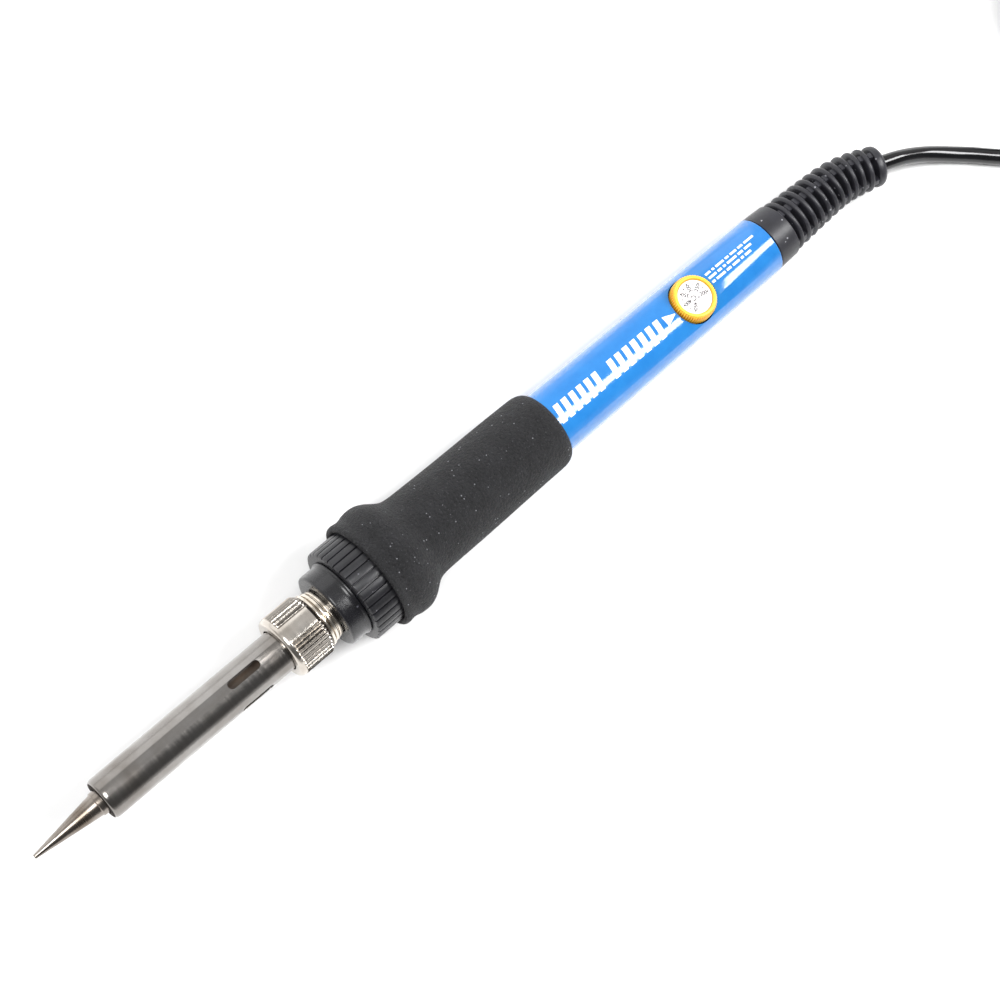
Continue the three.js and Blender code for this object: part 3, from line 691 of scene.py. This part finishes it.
def nose_cone():
    """A stepped nose with a small bead in front of the collar, and a sleeve behind."""
    return turn("glossy_nose", [
        (NOSE_FRONT, 5.85, 0), (NOSE_FRONT, 6.1, 0.1), (NOSE_FRONT, NOSE_R, 0.7),
        (84.5, NOSE_R, 0.8), (85.1, 9.62, 0.35), (85.5, 9.62, 0.1), (85.6, 9.3, 0),
        (88.1, 9.3, 0), (88.1, 10.15, 0), (89.9, 10.15, 0), (89.9, 6.1, 0), (100, 6.1, 0),
        (100, 4.2, 0), (92.4, 4.2, 0), (92.4, 5.85, 0), (NOSE_FRONT, 5.85, 0),
    ], sides=128)


def ribbed_collar():
    """A union ring with wide ribs and narrow grooves between them."""
    inner_r, rear_r = 9.6, 10.5
    marks = np.array([-0.5, -0.46, -0.40, -0.2, 0.0, 0.2, 0.40, 0.46])
    drops = np.array([1.0, 1.0, 0.14, 0.02, 0.0, 0.02, 0.14, 1.0])
    rolls = np.concatenate([(marks + k + 0.3) * math.tau / RIBS for k in range(RIBS)])
    drop = RIB_DEPTH * np.tile(drops, RIBS)
    full = np.ones(len(rolls))
    rows = [ring(COLLAR_FRONT, inner_r * full, rolls)]
    for ahead, inset in ((0, 0.5), (0.06, 0.36), (0.25, 0.08), (0.45, 0.0), (6.9, 0.0),
                         (12.6, 0.0)):
        radii = np.minimum(COLLAR_R - inset, COLLAR_R - drop)
        rows.append(ring(COLLAR_FRONT + ahead, radii, rolls))
    for u, r in ((COLLAR_REAR, rear_r), (87.8, rear_r), (87.8, inner_r)):
        rows.append(ring(u, r * full, rolls))
    return lattice("union_collar", rows, sharp=38)


def grip_sleeve():
    """A soft sleeve whose flared front covers the back of the collar."""
    outline = [
        (92.7, 12.15), (92.45, 12.6), (92.5, 13.1), (92.85, 13.5), (93.5, 13.62), (94.3, 13.52),
        (95.1, 13.42), (96.0, 13.55), (97.0, 13.83), (98.3, 13.95), (99.5, 13.88),
        (100.6, 13.58), (101.8, 12.98), (103.0, 12.15), (104.1, 11.4), (105.3, 10.8),
        (107.0, 10.46), (110.0, 10.34), (118.0, 10.22), (128.0, 10.08), (138.0, 9.95),
        (143.8, 9.86), (145.2, 9.72), (146.3, 9.35), (146.95, 8.85), (147.25, 8.35),
    ]
    smooth = [(max(u, 92.4), r) for u, r in catmull(outline, 3)]
    sides = 128
    rolls = rolls_of(sides)
    rows = []
    for u, r in smooth:
        wobble = 0.035 * np.sin(3 * rolls + 0.11 * u) + 0.025 * np.sin(5 * rolls - 0.23 * u)
        rows.append(ring(u, r + wobble * min(1.0, (r - 8.3) / 1.5) - 0.03, rolls))
    for u, r in ((147.1, 8.15), (99.3, 8.7), (98.6, 12.2)):
        rows.append(ring(u, np.full(sides, r), rolls))
    return lattice("foam_grip", rows, sharp=60)


def handle_tube():
    """A tapered tube with a flange under the collar and a hole for the knob."""
    flange_r, bore_r = 10.2, 6.4
    tube = turn("blue_tube", [
        (TUBE_FRONT, bore_r, 0), (TUBE_FRONT, flange_r, 0.3), (98.0, flange_r, 0.3),
        (COLLAR_REAR, TUBE_GRIP_R, 0), (TUBE_REAR, TUBE_REAR_R, 0.25), (TUBE_REAR, 5.85, 0.15),
        (TUBE_FRONT, bore_r, 0),
    ], sides=160)
    sides, gap = 96, 0.3
    angles = rolls_of(sides)
    hole = np.full(sides, KNOB_R + gap)
    cutter = lattice("knob_hole", upright([circle(z, hole, angles) for z in (2.0, 14.0)]),
                     closed=False)
    modifier = tube.modifiers.new("hole", "BOOLEAN")
    modifier.object = cutter
    modifier.solver = "EXACT"
    edges = tube.modifiers.new("edges", "BEVEL")
    edges.width = 0.12 * MM
    edges.segments = 2
    edges.limit_method = "ANGLE"
    edges.angle_limit = math.radians(35)
    apply_modifiers(tube)
    bpy.data.objects.remove(cutter)
    return tube


def tube_radius(station):
    """The tube's outer radius, between the collar and its rear end."""
    share = (station - COLLAR_REAR) / (TUBE_REAR - COLLAR_REAR)
    return TUBE_GRIP_R + (TUBE_REAR_R - TUBE_GRIP_R) * share


def printed(name, outline):
    """A thin raised print on the tube, from an outline of [station, distance across] points."""
    thick = 0.03
    work = bmesh.new()
    corners = [work.verts.new((x, y, 0)) for x, y in outline]
    work.faces.new(corners)
    bmesh.ops.triangulate(work, faces=work.faces)
    for _ in range(3):
        bmesh.ops.subdivide_edges(work, edges=work.edges[:], cuts=1, use_grid_fill=True)
    bottom = [tuple(v.co) for v in work.verts]
    faces = [[v.index for v in f.verts] for f in work.faces]
    rim = [(e.verts[0].index, e.verts[1].index) for e in work.edges if e.is_boundary]
    work.free()
    points = []
    for lift in (-thick, thick):
        for x, y, _ in bottom:
            r = tube_radius(x) + lift
            points.append((x, r * math.sin(y / r), r * math.cos(y / r)))
    count = len(bottom)
    sides = [(a, b, b + count, a + count) for a, b in rim]
    upper = [[i + count for i in face] for face in faces]
    return mesh_object(name, points, faces + upper + sides)


def pointer_print():
    """The triangle that points to the dial."""
    return printed("pointer_print", [(182.9, -1.35), (186.0, -0.1), (186.0, 0.1), (182.9, 1.35)])


def stripe_print():
    """Plain slanted bars and rows of dashes in the place of lettering."""
    stripes = []
    for front, rear, count in ((147.9, 162.2, 6), (164.7, 182.0, 7)):
        step = (rear - front) / count
        for k in range(count):
            u = front + step * k
            outline = [(u, -2.8), (u + 0.62 * step, -2.8), (u + 0.9 * step, 1.8),
                       (u + 0.28 * step, 1.8)]
            stripes.append(printed(f"bar_{front:.0f}_{k}", outline))
    rows = ((2.4, (1.6, 0.7, 2.6, 1.1, 2.0, 1.5, 3.0)), (1.2, (2.4, 1.2, 0.8, 3.0, 1.6, 2.2)),
            (0.0, (0.9, 2.8, 1.4, 2.2, 0.8, 1.9)))
    rows_start, half_dash, gap = 198.4, 0.28, 0.55
    for across, lengths in rows:
        u = rows_start
        for k, length in enumerate(lengths):
            outline = [(u, across - half_dash), (u + length, across - half_dash),
                       (u + length, across + half_dash), (u, across + half_dash)]
            stripes.append(printed(f"dash_{across:.0f}_{k}", outline))
            u += length + gap
    return joined("stripe_print", stripes)


# ------------------------------------------------------------------ dial

def temperature_knob():
    """A knurled knob with a shallow recess for its dial."""
    knurls, per_knurl, knurl_depth = 56, 8, 0.32
    socket_r, pinhole_r = 2.2, 0.5
    angles = rolls_of(knurls * per_knurl)
    full = np.ones(len(angles))
    depth = knurl_depth * (0.5 - 0.5 * np.cos(angles * knurls))
    rows = [circle(KNOB_BOTTOM, socket_r * full, angles), circle(KNOB_BOTTOM, 5.3 * full, angles)]
    outside = fillet([
        (KNOB_BOTTOM, KNOB_R - 0.3, 0), (KNOB_BOTTOM + 0.3, KNOB_R, 0.2),
        (KNOB_TOP - 1.0, KNOB_R, 0.5), (KNOB_TOP - 0.1, KNOB_R - 0.52, 0.2),
        (KNOB_TOP, KNOB_R - 0.75, 0.2), (KNOB_TOP, DIAL_R + 0.32, 0.15),
        (KNOB_TOP - 0.25, DIAL_R + 0.2, 0.1), (KNOB_TOP - 0.7, DIAL_R + 0.15, 0),
    ])
    for z, r in outside:
        fade = np.clip((r - (KNOB_R - 0.6)) / 0.35, 0, 1)
        rows.append(circle(z, r - depth * fade, angles))
    recess, socket_top = DIAL_TOP - 0.45, KNOB_BOTTOM + 2.1
    for z, r in ((recess, DIAL_R + 0.1), (recess, pinhole_r), (socket_top, pinhole_r),
                 (socket_top, socket_r)):
        rows.append(circle(z, r * full, angles))
    return lattice("knurled_knob", upright(rows), sharp=45)


def dial_label():
    """The thin white disc in the knob's recess."""
    sides, thick = 96, 0.35
    angles = rolls_of(sides)
    full = np.ones(sides)
    profile = fillet([
        (DIAL_TOP - thick, 0, 0), (DIAL_TOP - thick, DIAL_R, 0.05), (DIAL_TOP, DIAL_R, 0.08),
        (DIAL_TOP, 0, 0),
    ])
    rows = [circle(z, max(r, AXIS_R) * full, angles) for z, r in profile]
    return lattice("dial_film", upright(rows), closed=False)


def lettering(text, size, place, turned, height):
    """Text as a thin mesh on the dial, centred at place, in millimetres from the knob's axis."""
    curve = bpy.data.curves.new("text", "FONT")
    curve.body = text
    curve.size = size
    curve.align_x = "CENTER"
    curve.align_y = "CENTER"
    curve.extrude = 0.02
    curve.offset = 0.035
    curve.resolution_u = 3
    writer = bpy.data.objects.new("writer", curve)
    bpy.context.scene.collection.objects.link(writer)
    bpy.context.view_layer.update()
    mesh = bpy.data.meshes.new_from_object(writer)
    bpy.data.objects.remove(writer)
    mesh.transform(
        IRON
        @ Matrix.Scale(MM, 4)
        @ Matrix.Translation((KNOB_STATION + place[0], place[1], height))
        @ Matrix.Rotation(turned, 4, "Z")
    )
    obj = bpy.data.objects.new("lettering", mesh)
    bpy.context.scene.collection.objects.link(obj)
    return obj


def dial_print():
    """The scale: six settings, marks between them, and the unit in the middle."""
    height = DIAL_TOP + 0.01
    settings = ("200", "250", "300", "350", "400", "450")
    at_pointer = settings.index("400")
    step = math.radians(49)
    figure_reach, dot_reach, mark_reach = 2.3, 3.45, 3.1
    pieces = [lettering("°C", 1.9, (0.0, 0.0), math.pi, height)]
    for k, value in enumerate(settings):
        angle = math.pi + (k - at_pointer) * step
        out = Vector((math.cos(angle), math.sin(angle)))
        pieces.append(lettering(value, 1.3, out * figure_reach, angle, height))
        pieces.append(lettering("•", 1.3, out * dot_reach, angle, height))
        if k < len(settings) - 1:
            between = angle + step / 2
            mark = Vector((math.cos(between), math.sin(between))) * mark_reach
            pieces.append(lettering("•", 1.1, mark, between, height))
    return joined("dial_scale", pieces)


# ------------------------------------------------------------------ strain relief

def relief_rolls(web_middles, half_web):
    """Angles round the relief, closer together on its four webs."""
    edge = math.radians(1.5)
    inner = np.linspace(-half_web, half_web, 6)
    outer = np.linspace(half_web + edge, math.pi / 2 - half_web - edge, 16)
    rolls = []
    for middle in web_middles:
        rolls += list(middle + inner) + list(middle + outer)
    return np.array(rolls)


def relief_sections(length, full, on_web):
    """The relief's cap, rings, webs and end, as distances along its line with their radii."""
    cap_front, cap_rear = TUBE_REAR + 0.3 - RELIEF_FRONT, TUBE_REAR + 6.3 - RELIEF_FRONT
    sections = [(0, 2.3 * full), (0, 5.5 * full), (cap_front, 5.5 * full)]
    for u, r in fillet([(cap_front, 6.6, 0), (cap_front, 7.2, 0.25), (cap_rear, 6.95, 0.3),
                        (cap_rear + 0.02, 6.0, 0)]):
        sections.append((u, r * full))

    def ring_radius(i):
        return 6.6 - 1.25 * i / (RELIEF_RINGS - 1)

    def core(i):
        return np.where(on_web, ring_radius(i) - 0.42, ring_radius(i) - 2.6)

    round_parts, side_drop, foot = 8, 0.75, 0.12
    for i in range(RELIEF_RINGS):
        middle = cap_rear + 1.8 + i * RING_PITCH
        gap = 0.0 if i else 0.2
        sections.append((middle - RING_HALF - foot - gap, core(i)))
        for k in range(round_parts + 1):
            x = -1 + 2 * k / round_parts
            drop = side_drop * (1 - math.sqrt(1 - 0.93 * x * x))
            sections.append((middle + RING_HALF * x, (ring_radius(i) - drop) * full))
        sections.append((middle + RING_HALF + foot, core(i)))
    sections.append((length - 2.75, core(RELIEF_RINGS)))
    for u, r in fillet([(length - 2.6, 4.0, 0), (length - 2.5, 5.0, 0.6),
                        (length - 0.9, 5.05, 0.8), (length, 4.1, 0.9), (length, 2.6, 0.5),
                        (length - 1.5, 2.15, 0)]):
        sections.append((u, r * full))
    return sections


def strain_relief():
    """A cap and a row of rounded rings joined by webs, turned about a line that bends."""
    line = catmull(RELIEF_ROUTE, 40)
    steps = np.linalg.norm(np.diff(line, axis=0), axis=1)
    along = np.concatenate([[0], np.cumsum(steps)])
    web_middles = np.radians(22 + 90 * np.arange(4))
    half_web = math.radians(9)
    rolls = relief_rolls(web_middles, half_web)
    from_web = np.abs((rolls - web_middles[0] + math.pi / 4) % (math.pi / 2) - math.pi / 4)
    on_web = from_web < half_web + 0.01

    def on_line(distance):
        return np.array([np.interp(distance, along, line[:, k]) for k in range(3)])

    rows = []
    for u, radii in relief_sections(along[-1], np.ones(len(rolls)), on_web):
        ahead = on_line(u + 0.4) - on_line(u - 0.4)
        ahead /= np.linalg.norm(ahead)
        side = np.cross((0, 0, 1), ahead)
        side /= np.linalg.norm(side)
        up = np.cross(ahead, side)
        rows.append(on_line(u) + np.outer(radii * np.sin(rolls), side)
                    + np.outer(radii * np.cos(rolls), up))
    return lattice("ringed_relief", rows, sharp=50)


# ------------------------------------------------------------------ plug and tie

def bench_place(obj):
    """Puts a piece drawn in bench millimetres, X from under the tip, in its place."""
    obj.data.transform(Matrix.Translation((TIP_POINT.x, 0, 0)) @ IRON.inverted())
    return obj


def lying_ring(x, y, z, radius, sides=48):
    """Points round a line along X, for the plug and its pins."""
    angles = rolls_of(sides)
    return np.stack([np.full(sides, x), y + radius * np.cos(angles),
                     z + radius * np.sin(angles)], 1)


def plug_shell():
    """A flat moulded plug: waisted sides, rounded edges and a ribbed sleeve for the cord."""
    low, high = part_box("plug_body")
    x0, x1 = ((corner.x - TIP_POINT.x) / MM for corner in (low, high))
    y0 = (low.y + high.y) / 2 / MM
    half_wide = (high.y - low.y) / 2 / MM
    half_tall = high.z / MM / 2
    sleeve_length = 12
    back = x0 + sleeve_length
    # Each row: the share of the way to the plug's face, half its width there and half its height.
    outline = [(0.0, 3.6, 3.6), (0.06, 5.4, 4.4), (0.15, 8.2, 5.2), (0.3, 12.9, 6.2),
               (0.45, 16.0, 6.75), (0.6, 17.2, 6.8), (0.75, 16.6, 6.55), (0.88, 17.2, 6.8),
               (0.97, half_wide, 6.85), (1.0, half_wide - 0.5, 6.4)]
    sides = 96
    angles = rolls_of(sides)
    c, s = np.cos(angles), np.sin(angles)
    rows = []
    for share, wide, tall in catmull(outline, 4):
        x = back + share * (x1 - back)
        y = np.sign(c) * np.abs(c) ** 0.32 * min(wide, half_wide)
        z = np.sign(s) * np.abs(s) ** 0.42 * min(tall, half_tall)
        rows.append(np.stack([np.full(sides, x), y0 + y, half_tall + z], 1))
    body = lattice("plug_block", rows, sharp=50, closed=False)
    bore_r, ribs, pitch, groove = 2.2, 5, 2.1, 0.9
    sections = [(x0, bore_r), (x0, 3.0)]
    for k in range(ribs):
        front = x0 + 0.3 + pitch * k
        r = 3.2 + 0.26 * k
        sections += [(front, r - 0.1), (front + 0.2, r), (front + 1.2, r), (front + 1.4, r - 0.1),
                     (front + 1.5, r - groove), (front + 2.0, r - groove)]
    sections += [(back + 1.2, 4.4), (back + 1.6, bore_r)]
    rows = [lying_ring(x, y0, half_tall, r) for x, r in sections]
    sleeve = lattice("plug_sleeve", rows, sharp=50)
    return bench_place(joined("moulded_plug", [body, sleeve], sharp=50))


def plug_pin(side):
    """A round pin, 1 for the left one and -1 for the right: its insulated part and bare end."""
    word = "left" if side > 0 else "right"
    low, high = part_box("plug_pin_left" if side > 0 else "plug_pin_right")
    x0, x1 = ((corner.x - TIP_POINT.x) / MM for corner in (low, high))
    y0, z0 = (low.y + high.y) / 2 / MM, (low.z + high.z) / 2 / MM
    made = []
    for part, points in (
        ("sleeve", [(x0 - 0.5, 0, 0), (x0 - 0.5, 1.98, 0.1), (x0 + 9.8, 1.98, 0.25),
                    (x0 + 9.8, 1.6, 0.1), (x0 + 9.8, 0, 0)]),
        ("metal", [(x0 + 9.6, 0, 0), (x0 + 9.6, 1.9, 0.1), (x1 - 1.7, 1.9, 0.8),
                   (x1 - 0.3, 1.2, 0.6), (x1, 0.4, 0.2), (x1, 0, 0)]),
    ):
        rows = [lying_ring(x, y0, z0, max(r, AXIS_R)) for x, r in fillet(points)]
        made.append(bench_place(lattice(f"pin_{word}_{part}", rows, closed=False)))
    return made


def hank_tie():
    """A plastic-covered wire tie round the hank, with its ends twisted together on top."""
    low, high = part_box("hank_tie")
    x, y = HANK_CENTRE[0] / MM, HANK_CENTRE[1] / MM
    inset = 0.45
    half_wide = (high.y - low.y) / 2 / MM - inset
    bottom, top = low.z / MM + inset, high.z / MM - inset
    corner, corner_parts = 2.4, 6
    loop = []
    for side, level, start in ((1, top, 0), (-1, top, 90), (-1, bottom, 180), (1, bottom, 270)):
        centre_y = y + side * (half_wide - corner)
        centre_z = level - corner if level == top else level + corner
        for k in range(corner_parts + 1):
            angle = math.radians(start + 90 / corner_parts * k)
            away = np.array([math.cos(angle), math.sin(angle)])
            loop.append((np.array([centre_y, centre_z]) + corner * away, away))
    band_half_wide, wire_r, flat = 1.9, 0.42, 0.6
    rows = []
    for centre, away in loop:
        section = []
        for angle in rolls_of(16):
            over_wire = abs(math.cos(angle)) < 0.35
            bulge = wire_r * math.sin(angle) * (1.0 if over_wire else flat)
            section.append((x + band_half_wide * math.cos(angle), *(centre + away * bulge)))
        rows.append(section)
    band = lattice("tie_band", rows, sharp=60)
    start, end = x + 0.4, (high.x - TIP_POINT.x) / MM
    parts, turns, reach, strand_r = 40, 3.2, 0.48, 0.46
    around = rolls_of(10)
    twists = []
    for phase in (0.0, math.pi):
        strand = []
        for k in range(parts + 1):
            t = k / parts
            angle = phase + turns * math.tau * t
            centre = np.array([start + (end - start) * t, y + reach * math.cos(angle),
                               top - 0.55 + reach * math.sin(angle)])
            strand.append(centre + np.stack(
                [0 * around, strand_r * np.cos(around), strand_r * np.sin(around)], 1))
        twists.append(lattice("tie_strand", strand, sharp=60, closed=False))
    return bench_place(joined("wire_tie", [band, *twists], sharp=60))


# ------------------------------------------------------------------ stage

def make_stage():
    """The white bench top that the iron lies on."""
    n = Nodes("bench_top").set(Roughness=0.6)
    tone = n.span(n.noise(3.0, 2.0), 0.3, 0.7, 0.0, 1.0)
    n.link(n.mix(tone, (0.90, 0.90, 0.90, 1), (0.92, 0.92, 0.92, 1)), "Base Color")
    mesh = bpy.data.meshes.new("bench_top")
    reach = 3.0
    corners = [(-reach, -reach, 0), (reach, -reach, 0), (reach, reach, 0), (-reach, reach, 0)]
    mesh.from_pydata(corners, [], [(0, 1, 2, 3)])
    mesh.materials.append(n.material)
    floor = bpy.data.objects.new("bench_top", mesh)
    bpy.context.scene.collection.objects.link(floor)


def make_world():
    """A studio that is bright to the left of the iron and near the horizon, dark to the right."""
    world = bpy.data.worlds.new("studio")
    bpy.context.scene.world = world
    world.use_nodes = True
    tree = world.node_tree

    def made(kind, *inputs):
        node = tree.nodes.new("ShaderNode" + kind)
        for key, value in enumerate(inputs):
            if isinstance(value, bpy.types.NodeSocket):
                tree.links.new(value, node.inputs[key])
            else:
                node.inputs[key].default_value = value
        return node.outputs

    dim, bright, horizon = 0.14, 0.7, 0.75
    direction = made("SeparateXYZ", made("TexCoord")["Generated"])
    across = made("MapRange", direction[1], -0.4, 0.3, dim, bright)[0]
    low = made("MapRange", direction[2], 0.02, 0.3, horizon, 0.0)[0]
    total = made("Math", across, low)[0]
    background = tree.nodes["Background"]
    background.inputs["Color"].default_value = (1.0, 1.0, 1.0, 1)
    tree.links.new(total, background.inputs["Strength"])


def softbox(name, place, size, tilt, power):
    """A rectangular lamp, its long side along X, tilted about X from facing straight down."""
    data = bpy.data.lights.new(name, "AREA")
    data.shape = "RECTANGLE"
    data.size, data.size_y = size
    data.energy = power
    lamp = bpy.data.objects.new(name, data)
    lamp.location = place
    lamp.rotation_euler = (math.radians(tilt), 0, 0)
    bpy.context.scene.collection.objects.link(lamp)


def make_lights():
    """A big lamp on the left, a narrower one on the right and one high above the tip."""
    softbox("left", (0.05, 1.25, 0.72), (1.9, 0.9), -60, 4.5)
    softbox("strip", (0.85, -0.34, 1.0), (1.10, 0.38), 15, 23)
    softbox("overhead", (-0.55, 0.1, 1.7), (0.9, 0.7), 0, 18)


# ------------------------------------------------------------------ assembly

make_camera()
make_stage()
make_world()
make_lights()
bpy.context.scene.view_settings.view_transform = "Standard"
looks = make_materials()

cord = show(make_cord(), looks["cord"], "handle", "cord_pvc",
            "power_cord", "cord_hank", "cord_tail")
tie = show(hank_tie(), looks["tie"], "handle", "tie_plastic", "hank_tie")
plug = show(plug_shell(), looks["plug"], "handle", "plug_plastic", "plug_body")
for side, node in ((1, "plug_pin_left"), (-1, "plug_pin_right")):
    sleeve, bare = plug_pin(side)
    show(sleeve, looks["plug"], "handle", "plug_plastic")
    show(bare, looks["pin"], "handle", "pin_metal", node)

show(soldering_tip(), looks["tip"], "tip", "tip_plating", "soldering_tip")
show(barrel(), looks["steel"], "barrel", "barrel_steel", "barrel")
show(retaining_nut(), looks["nut"], "nut", "nickel_plate", "retaining_nut")
show(threaded_ferrule(), looks["nickel"], "handle", "nickel_plate", "threaded_ferrule")
show(heater_rod(), looks["ceramic"], "handle", "heater_ceramic", "heater_rod")
show(nose_cone(), looks["nose"], "handle", "nose_plastic", "nose_cone")
show(ribbed_collar(), looks["collar"], "handle", "collar_plastic", "ribbed_collar")
show(grip_sleeve(), looks["grip"], "handle", "grip_rubber", "grip_sleeve")
show(handle_tube(), looks["blue"], "handle", "handle_plastic", "handle_tube")
show(pointer_print(), looks["print"], "handle", "dial_print")
show(stripe_print(), looks["print"], "handle", "dial_print")
show(temperature_knob(), looks["yellow"], "knob", "knob_plastic", "temperature_knob")
show(dial_label(), looks["dial"], "knob", "dial_print", "dial_label")
show(dial_print(), looks["ink"], "knob", "dial_print")
show(strain_relief(), looks["relief"], "handle", "relief_rubber", "strain_relief")

for node, material in {
    "heater_bush": "ceramic", "heater_lead_left": "lead", "heater_lead_right": "lead",
    "circuit_board": "board", "triac": "black", "film_capacitor": "red", "diac": "glass",
    "resistor_left": "tan", "resistor_right": "tan", "potentiometer_body": "black",
    "potentiometer_shaft": "nylon", "inner_cord": "cord", "live_wire": "brown",
    "neutral_wire": "wire_blue", "cord_clamp": "nylon",
}.items():
    inner = frame["nodes"][node]
    inner.data.materials.clear()
    inner.data.materials.append(looks[material])
